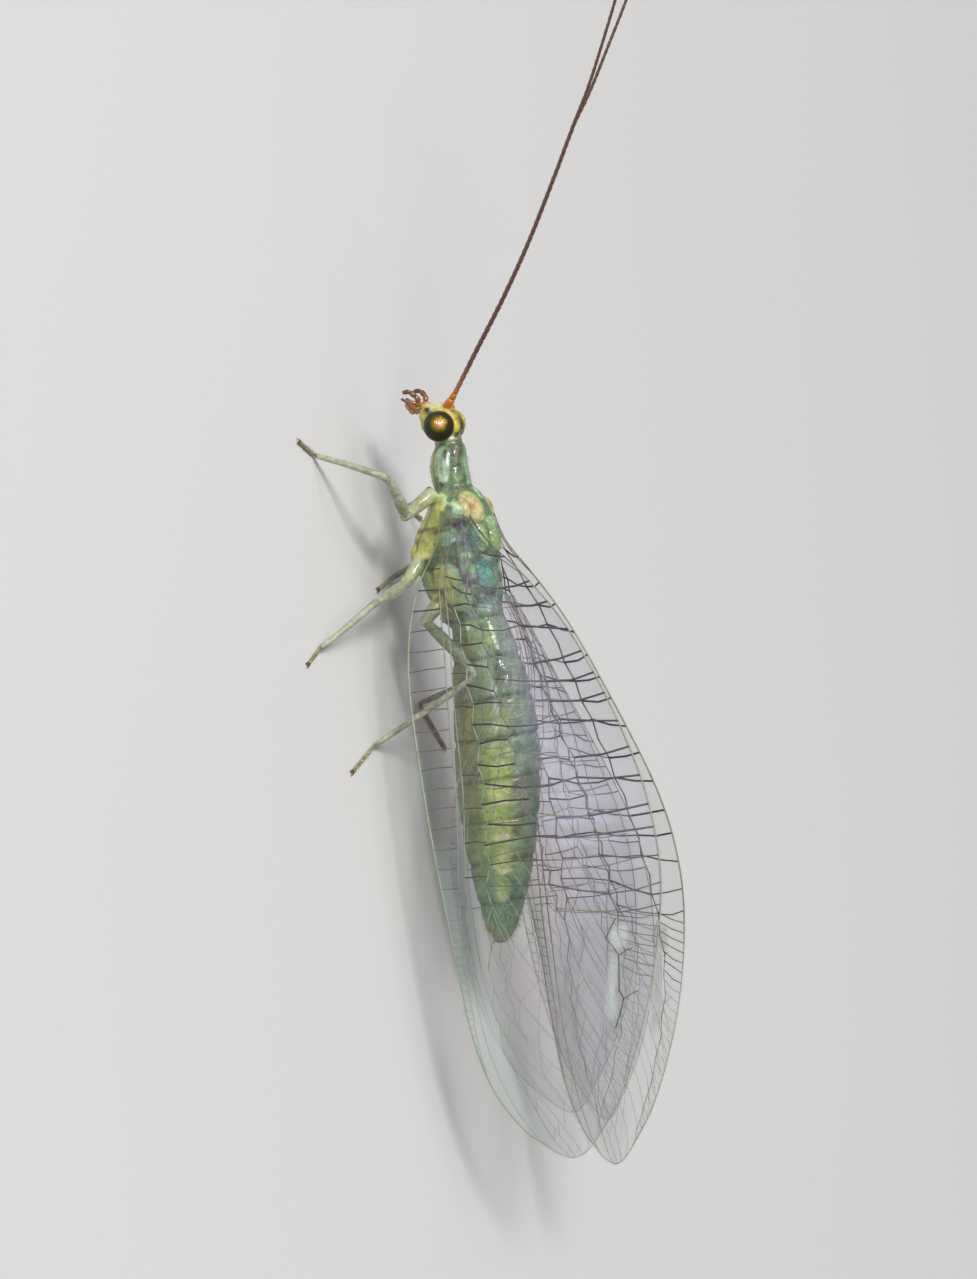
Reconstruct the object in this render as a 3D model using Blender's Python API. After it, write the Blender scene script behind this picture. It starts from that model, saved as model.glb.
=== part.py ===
"""Green lacewing at rest, life size: the solid construction model.

The insect stands on the plane z = 0 and faces -Y.  Its left side is +X.  All sizes below are
in millimetres and are turned into metres when a mesh is made.  Body, legs and antennae are each
shaped as one whole and then parted by thin cuts, so neighbouring pieces meet face to face.
"""
import math

import bmesh
import bpy
from mathutils import Vector

MM = 0.001

# Driving dimensions
FOREWING_LENGTH = 13.85
ROOF_SLOPE = math.radians(65.0)      # slope of the folded wings, from the level
WING_THICKNESS = 0.5
WING_EDGE = 0.34                     # thickness along a wing's margins
HINDWING_INSET = 0.56                # distance from the middle of a forewing to that of the hind wing
WING_CAMBER = 0.3                    # how far a wing bows outwards between its two margins
FOREWING_WIDTH = 4.5                 # at its widest, where the bow is full
TIP_SPREAD = 0.35                    # how much further out a wing's tip stands than its root
WING_BELLY = 0.85                    # how far the middle of a wing stands out round the abdomen
BELLY_PLACE = 1.6                    # power that moves the widest place towards the tail
BELLY_FULLNESS = 0.9                 # power that rounds the belly's two slopes
RIGHT_REACH = 1.03                   # the right wings reach further back than the left, by this factor
CUT = 0.1                            # thin cut between two pieces of one limb or of the trunk
LEG_RADIUS = 0.22
FOOT_AXIS_HEIGHT = 0.15              # lower than the tarsus radius, which leaves a flat sole
ANTENNA_RADIUS = 0.25
EYE_RADIUS = 0.33

# Root of the left forewing, from which the wing's own coordinates are counted
WING_ROOT = Vector((0.9, 0.0, 2.4))
CHORD = Vector((-math.cos(ROOF_SLOPE), 0.0, math.sin(ROOF_SLOPE)))
OUTWARD = Vector((math.sin(ROOF_SLOPE), 0.0, math.cos(ROOF_SLOPE)))

# Forewing margins: distance behind the root, distance up the roof from the root
FORE_COSTA = [(0.1, -0.2), (0.8, -0.45), (1.5, -0.92), (2.4, -1.29), (3.5, -1.52), (5.1, -1.62),
              (7.0, -1.66), (9.1, -1.62), (10.8, -1.56), (12.1, -1.3), (13.05, -0.79), (13.6, -0.24)]
FORE_HIND = [(0.1, 0.3), (0.8, 0.62), (1.6, 1.2), (2.6, 1.8), (3.7, 2.24), (5.0, 2.62),
             (6.6, 2.9), (8.2, 2.9), (9.7, 2.57), (11.3, 2.0), (12.8, 1.25), (13.6, 0.6)]
# Hind wing margins in the same coordinates, on the surface inside the forewing
HIND_COSTA = [(2.0, 0.45), (2.7, 0.58), (3.6, 0.45), (4.6, -0.1), (5.6, -0.8), (7.0, -1.3),
              (8.6, -1.4), (10.2, -1.28), (11.6, -0.85), (12.4, -0.3), (12.75, 0.05)]
HIND_HIND = [(2.0, 0.95), (2.7, 1.2), (3.6, 1.47), (4.6, 1.8), (5.8, 2.1), (7.4, 2.38),
             (9.0, 2.3), (10.4, 1.95), (11.6, 1.4), (12.75, 0.6)]

# Trunk stations: distance along Y, height of the centre, half width, half height
PROTHORAX = [(-1.3, 2.28, 0.27, 0.31), (-1.2, 2.27, 0.32, 0.35), (-1.08, 2.24, 0.37, 0.38),
             (-0.8, 2.2, 0.42, 0.41), (-0.5, 2.2, 0.44, 0.41), (-0.38, 2.21, 0.45, 0.42)]
MESOTHORAX = [(-0.38, 2.21, 0.45, 0.42), (-0.2, 2.22, 0.52, 0.55), (0.05, 2.23, 0.58, 0.67),
              (0.4, 2.14, 0.6, 0.87), (0.85, 2.03, 0.6, 1.02), (1.2, 2.03, 0.6, 0.98),
              (1.4, 2.04, 0.58, 0.89)]
METATHORAX = [(1.4, 2.04, 0.58, 0.89), (1.6, 2.07, 0.58, 0.88), (1.9, 2.1, 0.56, 0.82),
              (2.2, 2.16, 0.52, 0.68), (2.42, 2.24, 0.48, 0.6)]
ABDOMEN = [(2.42, 2.24, 0.48, 0.6), (3.1, 2.27, 0.56, 0.72), (4.1, 2.26, 0.66, 0.88),
           (5.0, 2.19, 0.72, 0.95), (5.7, 2.1, 0.74, 0.95), (6.5, 1.98, 0.72, 0.88),
           (7.2, 1.88, 0.66, 0.78), (7.9, 1.78, 0.56, 0.64), (8.5, 1.67, 0.44, 0.47),
           (8.95, 1.58, 0.28, 0.3), (9.2, 1.53, 0.1, 0.12)]
HEAD = [(-1.4, 2.28, 0.27, 0.31), (-1.46, 2.26, 0.33, 0.38), (-1.6, 2.23, 0.38, 0.43),
        (-1.8, 2.23, 0.39, 0.43), (-1.98, 2.17, 0.37, 0.37), (-2.12, 2.1, 0.3, 0.29),
        (-2.2, 2.06, 0.17, 0.17)]
ABDOMEN_SEGMENTS = 8
SEGMENT_GROOVE = 0.035               # share of the girth lost in a groove between two segments
ABDOMEN_CUTS = [4.55, 7.0]

EYE_CENTRE = Vector((0.52, -1.665, 2.31))
EYE_OUTER = 0.81                     # distance of the eye's pole from the middle plane
EYE_DROP = 0.12                      # the head leans, so the right eye stands lower by this
EYE_SEAT_DEPTH = 0.1                 # how far the eye's inner rim may sink below its widest seat
EYE_RINGS = [0.0, 0.0, 20.0, 40.0, 58.0, 74.0, 84.0]     # lift of each ring, in degrees, the seat first

# Middle lines and radii of the mouth and of the left palp
MOUTH_PATH = [(0.0, -2.09, 1.72), (0.0, -2.2, 1.64), (0.0, -2.28, 1.58), (0.0, -2.34, 1.53)]
MOUTH_RADII = [0.2, 0.19, 0.15, 0.08]
PALP_PATH = [(0.24, -2.3, 1.86), (0.3, -2.42, 1.8), (0.33, -2.49, 1.7), (0.34, -2.5, 1.57)]
PALP_RADII = [0.1, 0.12, 0.12, 0.09]

# Middle line of the left antenna, scape first
ANTENNA_PATH = [(0.27, -2.1, 2.62), (0.28, -2.4, 2.8), (0.32, -3.05, 3.33), (0.36, -4.11, 4.2),
                (0.42, -5.15, 4.98), (0.5, -6.39, 5.82), (0.58, -7.25, 6.39), (0.68, -7.97, 6.9),
                (0.8, -8.83, 7.43), (0.95, -9.76, 7.98), (1.15, -11.0, 8.66), (1.4, -12.3, 9.28),
                (1.6, -13.1, 9.62)]
ANTENNA_TIP_RADIUS = 0.2
ANTENNA_DROP = 0.73                  # the right feeler hangs lower, by this share of its spread
ANTENNA_DROP_SPREAD = 0.6            # spread past which it hangs no lower
ANTENNA_CUTS = [0.05, 0.36, 0.68]    # shares of its length at which an antenna is parted

# Joints of each leg: hip, trochanter, knee, ankle and claw; ankle and claw lie at the foot's height
LEG_JOINTS = {
    "front_left": [(0.42, -0.32, 1.9), (0.86, 0.06, 1.36), (2.0, -0.78, 1.53), (2.05, -1.5), (2.72, -1.8)],
    "mid_left": [(0.42, 0.95, 1.45), (0.84, 1.46, 1.08), (2.55, 1.76, 0.98), (3.7, 2.48), (4.42, 2.74)],
    "hind_left": [(0.36, 1.95, 1.6), (0.62, 2.3, 1.3), (0.98, 3.6, 2.36), (1.56, 4.66), (3.0, 5.1)],
    "front_right": [(0.42, -0.32, 1.9), (0.84, 0.02, 1.36), (2.0, -0.35, 1.62), (2.85, -0.2), (3.6, 0.1)],
    "mid_right": [(0.42, 0.95, 1.45), (0.82, 1.2, 1.08), (1.9, 0.55, 1.75), (1.05, 1.28), (0.35, 1.45)],
    "hind_right": [(0.36, 1.95, 1.6), (0.62, 2.3, 1.3), (0.98, 3.5, 2.36), (1.5, 3.98), (2.6, 5.0)],
}
LEG_RADII = [0.27, 0.25, 0.23, LEG_RADIUS, 0.2]
LEG_PARTS = ["coxa", "femur", "tibia", "tarsus"]
SEAT_STEP = 0.01                     # step by which a hip is drawn out of the trunk
SEAT_STEPS = 200

# Rounding of a wing's outer end: where it starts, as a share of the length, and how far it reaches
TIP_START = 0.9
TIP_REACH = 0.25                     # share of the end rib's length

# Smoothness
TRUNK_SIDES = 20
LEG_SIDES = 10
ANTENNA_SIDES = 8
ANTENNA_RINGS = 40
EYE_SIDES = 20
MOUTH_SIDES = 14
PALP_SIDES = 8
WING_RIBS = 30
WING_CELLS = 6
SHARP_ANGLE = math.radians(50.0)
MITRE_LIMIT = 1.5                    # most that a ring is stretched at a bend


def clear_scene():
    for obj in list(bpy.data.objects):
        bpy.data.objects.remove(obj, do_unlink=True)


def material(name, colour, roughness, metallic=0.0):
    found = bpy.data.materials.get(name)
    if found:
        return found
    made = bpy.data.materials.new(name)
    made.use_nodes = True
    shader = made.node_tree.nodes["Principled BSDF"]
    shader.inputs["Base Color"].default_value = (*colour, 1.0)
    shader.inputs["Roughness"].default_value = roughness
    shader.inputs["Metallic"].default_value = metallic
    return made


def skin_material():
    return material("green_skin", (0.36, 0.55, 0.24), 0.45)


def leg_material():
    return material("leg_skin", (0.42, 0.52, 0.34), 0.5)


def antenna_material():
    return material("antenna_brown", (0.33, 0.16, 0.07), 0.55)


def eye_material():
    return material("metallic_eye", (0.12, 0.09, 0.03), 0.18, 0.8)


def mouth_material():
    return material("amber_mouth", (0.55, 0.3, 0.08), 0.4)


def wing_material():
    return material("wing_membrane", (0.5, 0.48, 0.52), 0.25)


def curve_at(knots, place):
    """Values of a smooth curve through knots of (place, value, value...), at one place."""
    last = len(knots) - 1
    k = 0
    while k < last - 1 and place > knots[k + 1][0]:
        k += 1
    step = knots[k + 1][0] - knots[k][0]
    t = min(max((place - knots[k][0]) / step, 0.0), 1.0)
    values = []
    for axis in range(1, len(knots[0])):
        def slope(i):
            low, high = max(i - 1, 0), min(i + 1, last)
            return (knots[high][axis] - knots[low][axis]) / (knots[high][0] - knots[low][0])
        rise = t * t * (3.0 - 2.0 * t)
        values.append(knots[k][axis] * (1.0 - rise) + knots[k + 1][axis] * rise
                      + step * slope(k) * t * (1.0 - t) ** 2
                      - step * slope(k + 1) * t * t * (1.0 - t))
    return values


def make_object(name, verts, faces, finish):
    """One closed piece from points in millimetres, with its faces pointing out."""
    mesh = bpy.data.meshes.new(name)
    mesh.from_pydata([tuple(Vector(v) * MM) for v in verts], [], faces)
    mesh.materials.append(finish)
    shape = bmesh.new()
    shape.from_mesh(mesh)
    bmesh.ops.recalc_face_normals(shape, faces=shape.faces)
    bmesh.ops.triangulate(shape, faces=[f for f in shape.faces if len(f.verts) > 4])
    shape.to_mesh(mesh)
    shape.free()
    mesh.shade_smooth()
    mesh.set_sharp_from_angle(angle=SHARP_ANGLE)
    obj = bpy.data.objects.new(name, mesh)
    bpy.context.collection.objects.link(obj)
    return obj


def closed_loft(name, rings, finish):
    """A closed piece skinned over rings of equal count, with a flat cap at each end."""
    sides = len(rings[0])
    verts = [v for ring in rings for v in ring]
    faces = []
    for r in range(len(rings) - 1):
        for s in range(sides):
            a, b = r * sides + s, r * sides + (s + 1) % sides
            faces.append((a, b, b + sides, a + sides))
    faces.append(tuple(range(sides)))
    faces.append(tuple(range(len(verts) - sides, len(verts))))
    return make_object(name, verts, faces, finish)


def trunk_ring(station, y, shrink=1.0):
    centre, half_width, half_height = station
    ring = []
    for s in range(TRUNK_SIDES):
        angle = 2.0 * math.pi * s / TRUNK_SIDES
        ring.append(Vector((shrink * half_width * math.cos(angle), y,
                            centre + shrink * half_height * math.sin(angle))))
    return ring


def half_width_at(stations, y, z):
    """Half width of a trunk piece at a place on its side, zero where it isn't reached."""
    if y < stations[0][0] or y > stations[-1][0]:
        return 0.0
    centre, half_width, half_height = curve_at(stations, y)
    share = (z - centre) / half_height
    return half_width * math.sqrt(1.0 - share * share) if abs(share) < 1.0 else 0.0


def trunk_piece(name, stations, front, back, rings, finish, groove=None):
    places = [front + (back - front) * r / (rings - 1) for r in range(rings)]
    return closed_loft(name, [trunk_ring(curve_at(stations, y), y, groove(y) if groove else 1.0)
                              for y in places], finish)


def abdomen_groove(y):
    """Girth of the abdomen along its length, drawn in at the joints between its segments."""
    front, back = ABDOMEN[0][0], ABDOMEN[-1][0]
    phase = (y - front) / (back - front) * ABDOMEN_SEGMENTS
    return 1.0 - SEGMENT_GROOVE * abs(math.cos(math.pi * phase)) ** 3


def make_trunk():
    finish = skin_material()
    half = CUT / 2.0
    trunk_piece("prothorax", PROTHORAX, PROTHORAX[0][0], PROTHORAX[-1][0] - half, 8, finish)
    trunk_piece("mesothorax", MESOTHORAX, MESOTHORAX[0][0] + half, MESOTHORAX[-1][0] - half, 9, finish)
    trunk_piece("metathorax", METATHORAX, METATHORAX[0][0] + half, METATHORAX[-1][0] - half, 6, finish)
    bounds = [ABDOMEN[0][0]] + ABDOMEN_CUTS + [ABDOMEN[-1][0] + half]
    for name, front, back in zip(("abdomen_front", "abdomen_middle", "abdomen_tip"), bounds, bounds[1:]):
        trunk_piece(name, ABDOMEN, front + half, back - half, 10, finish, abdomen_groove)


def make_head():
    trunk_piece("head", HEAD[::-1], HEAD[-1][0], HEAD[0][0], 12, skin_material())
    for side, sign in (("left", 1.0), ("right", -1.0)):
        make_eye(side, sign)
        make_palp(side, sign)
    make_mouth()


def make_eye(side, sign):
    """A domed eye whose inner face follows the side of the head."""
    head = HEAD[::-1]
    height = EYE_CENTRE.z - (EYE_DROP if sign < 0 else 0.0)
    deepest = half_width_at(head, EYE_CENTRE.y, height) - EYE_SEAT_DEPTH
    rings = []
    for reach in EYE_RINGS:
        lift = math.radians(reach)
        ring = []
        for s in range(EYE_SIDES):
            angle = 2.0 * math.pi * s / EYE_SIDES
            y = EYE_CENTRE.y + EYE_RADIUS * math.cos(lift) * math.cos(angle)
            z = height + EYE_RADIUS * math.cos(lift) * math.sin(angle)
            x = EYE_CENTRE.x + (EYE_OUTER - EYE_CENTRE.x) * math.sin(lift)
            if not rings:
                x = max(half_width_at(head, y, z), deepest) + CUT / 2.0
            ring.append(Vector((sign * x, y, z)))
        rings.append(ring)
    closed_loft("eye_" + side, rings, eye_material())


def round_tube(name, path, radii, sides, finish):
    closed_loft(name, tube_rings([Vector(p) for p in path], radii, sides), finish)


def tube_rings(path, radii, sides):
    """Rings along a bent path, each in the plane that halves the bend there."""
    rings = []
    side = None
    for i, point in enumerate(path):
        before = (point - path[i - 1]).normalized() if i else (path[1] - point).normalized()
        after = (path[i + 1] - point).normalized() if i + 1 < len(path) else before
        along = (before + after).normalized()
        if side is None:
            side = along.orthogonal().normalized()
        side = (side - along * side.dot(along)).normalized()
        up = along.cross(side)
        bend = before.angle(after, 0.0)
        turn = (after - before)
        turn = turn.normalized() if turn.length > 1e-6 else side
        stretch = min(1.0 / math.cos(bend / 2.0), MITRE_LIMIT)
        ring = []
        for s in range(sides):
            angle = 2.0 * math.pi * s / sides
            spoke = (side * math.cos(angle) + up * math.sin(angle)) * radii[i]
            spoke += turn * spoke.dot(turn) * (stretch - 1.0)
            ring.append(point + spoke)
        rings.append(ring)
    return rings


def make_mouth():
    """Clypeus, labrum and jaws as one blunt cone under the front of the head."""
    round_tube("mouth", MOUTH_PATH, MOUTH_RADII, MOUTH_SIDES, mouth_material())


def make_palp(side, sign):
    path = [(sign * x, y, z) for x, y, z in PALP_PATH]
    round_tube("palp_" + side, path, PALP_RADII, PALP_SIDES, mouth_material())


def antenna_point(share):
    knots = [(i / (len(ANTENNA_PATH) - 1), *p) for i, p in enumerate(ANTENNA_PATH)]
    return Vector(curve_at(knots, share))


def make_antenna(side, sign):
    """One feeler: its thick first joint and three lengths of its whip."""
    shares = [i / ANTENNA_RINGS for i in range(ANTENNA_RINGS + 1)]
    shares = sorted(shares + ANTENNA_CUTS)
    finish = antenna_material()
    drop = ANTENNA_DROP if sign < 0.0 else 0.0
    path = []
    for share in shares:
        p = antenna_point(share)
        path.append(Vector((sign * p.x, p.y, p.z - drop * min(p.x, ANTENNA_DROP_SPREAD))))
    radii = [ANTENNA_RADIUS + (ANTENNA_TIP_RADIUS - ANTENNA_RADIUS) * share for share in shares]
    rings = tube_rings(path, radii, ANTENNA_SIDES)
    bounds = [0.0] + ANTENNA_CUTS + [1.0]
    names = ("scape", "whip_base", "whip_middle", "whip_tip")
    for name, low, high in zip(names, bounds, bounds[1:]):
        first, last = shares.index(low), shares.index(high)
        piece = [list(ring) for ring in rings[first:last + 1]]
        trim_ends(piece, path[first:last + 1], low > 0.0, high < 1.0)
        closed_loft("antenna_%s_%s" % (side, name), piece, finish)


def trim_ends(rings, path, at_start, at_end):
    """Draws the end rings of one length back by half a cut."""
    if at_start:
        shift = (path[1] - path[0]).normalized() * CUT / 2.0
        rings[0] = [v + shift for v in rings[0]]
    if at_end:
        shift = (path[-2] - path[-1]).normalized() * CUT / 2.0
        rings[-1] = [v + shift for v in rings[-1]]


def seat_on_trunk(ring, direction):
    """Moves each point of a ring along a direction until it is clear of the trunk."""
    seated = []
    for point in ring:
        moved = point.copy()
        for _ in range(SEAT_STEPS):
            widths = [half_width_at(part, moved.y, moved.z) for part in (PROTHORAX, MESOTHORAX, METATHORAX)]
            if abs(moved.x) > max(widths) + CUT / 2.0 or max(widths) == 0.0:
                break
            moved += direction * SEAT_STEP
        seated.append(moved + direction * CUT / 2.0)
    return seated


def make_leg(name, joints):
    sign = 1.0 if name.endswith("left") else -1.0
    points = [Vector((sign * j[0], j[1], j[2] if len(j) > 2 else FOOT_AXIS_HEIGHT)) for j in joints]
    rings = tube_rings(points, LEG_RADII, LEG_SIDES)
    for k, part in enumerate(LEG_PARTS):
        piece = [list(rings[k]), list(rings[k + 1])]
        trim_ends(piece, points[k:k + 2], k > 0, k < 3)
        if k == 0:
            piece[0] = seat_on_trunk(piece[0], (points[1] - points[0]).normalized())
        middle = [(a + b) / 2.0 for a, b in zip(*piece)]
        rounded = [piece[0], middle, piece[1]]
        for ring in rounded:
            for v in ring:
                v.z = max(v.z, 0.0)
        closed_loft("leg_%s_%s" % (name, part), rounded, leg_material())


def bulge(y, up):
    """How far a folded wing stands out from its root plane, along its length and across it."""
    t = min(max(y / FOREWING_LENGTH, 0.0), 1.0)
    low = curve_at(FORE_COSTA, y)[0]
    high = curve_at(FORE_HIND, y)[0]
    v = min(max((up - low) / (high - low), 0.0), 1.0)
    bow = WING_CAMBER * math.sin(math.pi * v) * (high - low) / FOREWING_WIDTH
    return TIP_SPREAD * t + WING_BELLY * math.sin(math.pi * t ** BELLY_PLACE) ** BELLY_FULLNESS + bow


def wing_point(y, up, inset):
    """A point on a left wing's middle surface, from its place on the roof."""
    return WING_ROOT + Vector((0.0, y, 0.0)) + CHORD * up + OUTWARD * (bulge(y, up) - inset)


def make_wing(name, sign, costa, hind, inset):
    """A wing slab: ribs from the costa to the hind margin, with a rounded outer end."""
    reach = RIGHT_REACH if sign < 0 else 1.0
    rims = []
    for r in range(WING_RIBS + 1):
        t = (1.0 - math.cos(math.pi * r / WING_RIBS)) / 2.0
        low_y = costa[0][0] + (costa[-1][0] - costa[0][0]) * t
        high_y = hind[0][0] + (hind[-1][0] - hind[0][0]) * t
        low, high = curve_at(costa, low_y)[0], curve_at(hind, high_y)[0]
        end_round = TIP_REACH * (high - low) * max(t - TIP_START, 0.0) / (1.0 - TIP_START)
        faces_of_rib = []
        for side in (1.0, -1.0):
            row = []
            for c in range(WING_CELLS + 1):
                v = c / WING_CELLS
                thick = WING_EDGE + (WING_THICKNESS - WING_EDGE) * math.sin(math.pi * v) ** 0.5
                p = wing_point(low_y + (high_y - low_y) * v + end_round * math.sin(math.pi * v),
                               low + (high - low) * v, inset)
                p = p + OUTWARD * (side * thick / 2.0)
                row.append(Vector((sign * p.x, p.y * reach, p.z)))
            faces_of_rib.append(row)
        rims.append(faces_of_rib[0] + faces_of_rib[1][::-1])
    closed_loft(name, rims, wing_material())


def make_wings():
    for side, sign in (("left", 1.0), ("right", -1.0)):
        make_wing("forewing_" + side, sign, FORE_COSTA, FORE_HIND, 0.0)
        make_wing("hindwing_" + side, sign, HIND_COSTA, HIND_HIND, HINDWING_INSET)


def stand_on_origin():
    """Moves the whole model so that the middle of its outer box stands over the origin."""
    corners = [obj.matrix_world @ Vector(c) for obj in bpy.data.objects for c in obj.bound_box]
    low = Vector([min(c[i] for c in corners) for i in range(3)])
    high = Vector([max(c[i] for c in corners) for i in range(3)])
    for obj in bpy.data.objects:
        obj.location = (-(low.x + high.x) / 2.0, -(low.y + high.y) / 2.0, -low.z)


def main():
    clear_scene()
    make_trunk()
    make_head()
    for side, sign in (("left", 1.0), ("right", -1.0)):
        make_antenna(side, sign)
    for name, joints in LEG_JOINTS.items():
        make_leg(name, joints)
    make_wings()
    stand_on_origin()


main()
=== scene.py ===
import math
import random

import bmesh
import bpy
import numpy as np
from mathutils import Matrix, Vector
from mathutils.kdtree import KDTree


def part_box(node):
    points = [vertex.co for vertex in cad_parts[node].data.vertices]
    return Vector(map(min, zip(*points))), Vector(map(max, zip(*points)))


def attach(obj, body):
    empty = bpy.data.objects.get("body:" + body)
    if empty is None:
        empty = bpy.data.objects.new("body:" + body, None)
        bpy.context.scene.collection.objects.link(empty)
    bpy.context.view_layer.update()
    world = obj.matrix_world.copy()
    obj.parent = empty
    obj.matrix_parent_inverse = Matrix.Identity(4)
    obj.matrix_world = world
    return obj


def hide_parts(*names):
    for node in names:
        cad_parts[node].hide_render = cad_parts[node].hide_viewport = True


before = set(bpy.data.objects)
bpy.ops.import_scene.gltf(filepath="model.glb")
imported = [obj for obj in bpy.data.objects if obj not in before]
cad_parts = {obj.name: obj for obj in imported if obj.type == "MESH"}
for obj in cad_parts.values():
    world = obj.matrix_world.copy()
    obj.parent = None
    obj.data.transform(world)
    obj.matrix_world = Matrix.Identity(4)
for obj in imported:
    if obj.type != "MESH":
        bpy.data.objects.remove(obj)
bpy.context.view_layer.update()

MM = 0.001

# The frame's own place for the insect: the head's front end and its middle plane
HEAD_FRONT = -2.2
head_low, head_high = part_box("head")
SHIFT = Vector(((head_low.x + head_high.x) / 2.0, head_low.y - HEAD_FRONT * MM, 0.0))

# Forewing and hind wing, as the solids have them
FOREWING_LENGTH = 13.85
FOREWING_WIDTH = 4.5
ROOF_SLOPE = math.radians(65.0)
HINDWING_INSET = 0.56
WING_CAMBER = 0.3
TIP_SPREAD = 0.35
WING_BELLY = 0.85
BELLY_PLACE = 1.6
BELLY_FULLNESS = 0.9
TIP_START = 0.9
TIP_REACH = 0.25
WING_ROOT = np.array((0.9, 0.0, 2.4))
CHORD = np.array((-math.cos(ROOF_SLOPE), 0.0, math.sin(ROOF_SLOPE)))
OUTWARD = np.array((math.sin(ROOF_SLOPE), 0.0, math.cos(ROOF_SLOPE)))
FORE_COSTA = [(0.1, -0.2), (0.8, -0.45), (1.5, -0.92), (2.4, -1.29), (3.5, -1.52), (5.1, -1.62),
              (7.0, -1.66), (9.1, -1.62), (10.8, -1.56), (12.1, -1.3), (13.05, -0.79), (13.6, -0.24)]
FORE_HIND = [(0.1, 0.3), (0.8, 0.62), (1.6, 1.2), (2.6, 1.8), (3.7, 2.24), (5.0, 2.62),
             (6.6, 2.9), (8.2, 2.9), (9.7, 2.57), (11.3, 2.0), (12.8, 1.25), (13.6, 0.6)]
HIND_COSTA = [(2.0, 0.45), (2.7, 0.58), (3.6, 0.45), (4.6, -0.1), (5.6, -0.8), (7.0, -1.3),
              (8.6, -1.4), (10.2, -1.28), (11.6, -0.85), (12.4, -0.3), (12.75, 0.05)]
HIND_HIND = [(2.0, 0.95), (2.7, 1.2), (3.6, 1.47), (4.6, 1.8), (5.8, 2.1), (7.4, 2.38),
             (9.0, 2.3), (10.4, 1.95), (11.6, 1.4), (12.75, 0.6)]
RIGHT_REACH = 1.03  # the right wings reach further back than the left, by this factor
RIDGE_DRAW = 0.2  # how far the hind margins lean together inside their slabs
RIDGE_END = 7.5  # distance behind the root where that lean has died away
RIDGE_FADE = 3.5  # and the length over which it dies away
ROOT_REACH = 1.2  # length behind the root over which it starts

# Trunk stations: distance along Y, height of the centre, half width, half height
TRUNK = [(-1.3, 2.28, 0.27, 0.31), (-1.2, 2.27, 0.32, 0.35), (-1.08, 2.24, 0.37, 0.38),
         (-0.8, 2.2, 0.42, 0.41), (-0.5, 2.2, 0.44, 0.41), (-0.38, 2.21, 0.45, 0.42),
         (-0.2, 2.22, 0.52, 0.55), (0.05, 2.23, 0.58, 0.67), (0.4, 2.14, 0.6, 0.87),
         (0.85, 2.03, 0.6, 1.02), (1.2, 2.03, 0.6, 0.98), (1.4, 2.04, 0.58, 0.89),
         (1.6, 2.07, 0.58, 0.88), (1.9, 2.1, 0.56, 0.82), (2.2, 2.16, 0.52, 0.68),
         (2.42, 2.24, 0.48, 0.6), (3.1, 2.27, 0.56, 0.72), (4.1, 2.26, 0.66, 0.88),
         (5.0, 2.19, 0.72, 0.95), (5.7, 2.1, 0.74, 0.95), (6.5, 1.98, 0.72, 0.88),
         (7.2, 1.88, 0.66, 0.78), (7.9, 1.78, 0.56, 0.64), (8.5, 1.67, 0.44, 0.47),
         (8.95, 1.58, 0.28, 0.3), (9.2, 1.53, 0.1, 0.12)]
ABDOMEN_FRONT = 2.42
ABDOMEN_BACK = 9.2
ABDOMEN_SEGMENTS = 8

EYE_CENTRE = (0.5, -1.665, 2.31)
EYE_RADII = (0.3, 0.325, 0.325)
EYE_DROP = 0.12  # the head leans, so the right eye stands lower by this

# Middle line of the left feeler, scape first
ANTENNA_PATH = [(0.27, -2.1, 2.62), (0.28, -2.4, 2.8), (0.32, -3.05, 3.33), (0.36, -4.11, 4.2),
                (0.42, -5.15, 4.98), (0.5, -6.39, 5.82), (0.58, -7.25, 6.39), (0.68, -7.97, 6.9),
                (0.8, -8.83, 7.43), (0.95, -9.76, 7.98), (1.15, -11.0, 8.66), (1.4, -12.3, 9.28),
                (1.6, -13.1, 9.62)]
ANTENNA_DROP = 0.73  # drop of the right feeler for each millimetre away from the middle
ANTENNA_DROP_SPREAD = 0.6  # as far out as this

# Joints of each leg: hip, trochanter, knee, ankle and claw; ankle and claw lie on the floor
LEG_JOINTS = {
    "front_left": [(0.42, -0.32, 1.9), (0.86, 0.06, 1.36), (2.0, -0.78, 1.53), (2.05, -1.5), (2.72, -1.8)],
    "mid_left": [(0.42, 0.95, 1.45), (0.84, 1.46, 1.08), (2.55, 1.76, 0.98), (3.7, 2.48), (4.42, 2.74)],
    "hind_left": [(0.36, 1.95, 1.6), (0.62, 2.3, 1.3), (0.98, 3.6, 2.36), (1.56, 4.66), (3.0, 5.1)],
    "front_right": [(0.42, -0.32, 1.9), (0.84, 0.02, 1.36), (2.0, -0.35, 1.62), (2.85, -0.2), (3.6, 0.1)],
    "mid_right": [(0.42, 0.95, 1.45), (0.82, 1.2, 1.08), (1.9, 0.55, 1.75), (1.05, 1.28), (0.35, 1.45)],
    "hind_right": [(0.36, 1.95, 1.6), (0.62, 2.3, 1.3), (0.98, 3.5, 2.36), (1.5, 3.98), (2.6, 5.0)],
}


# ---- workshop: curves and meshes

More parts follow.
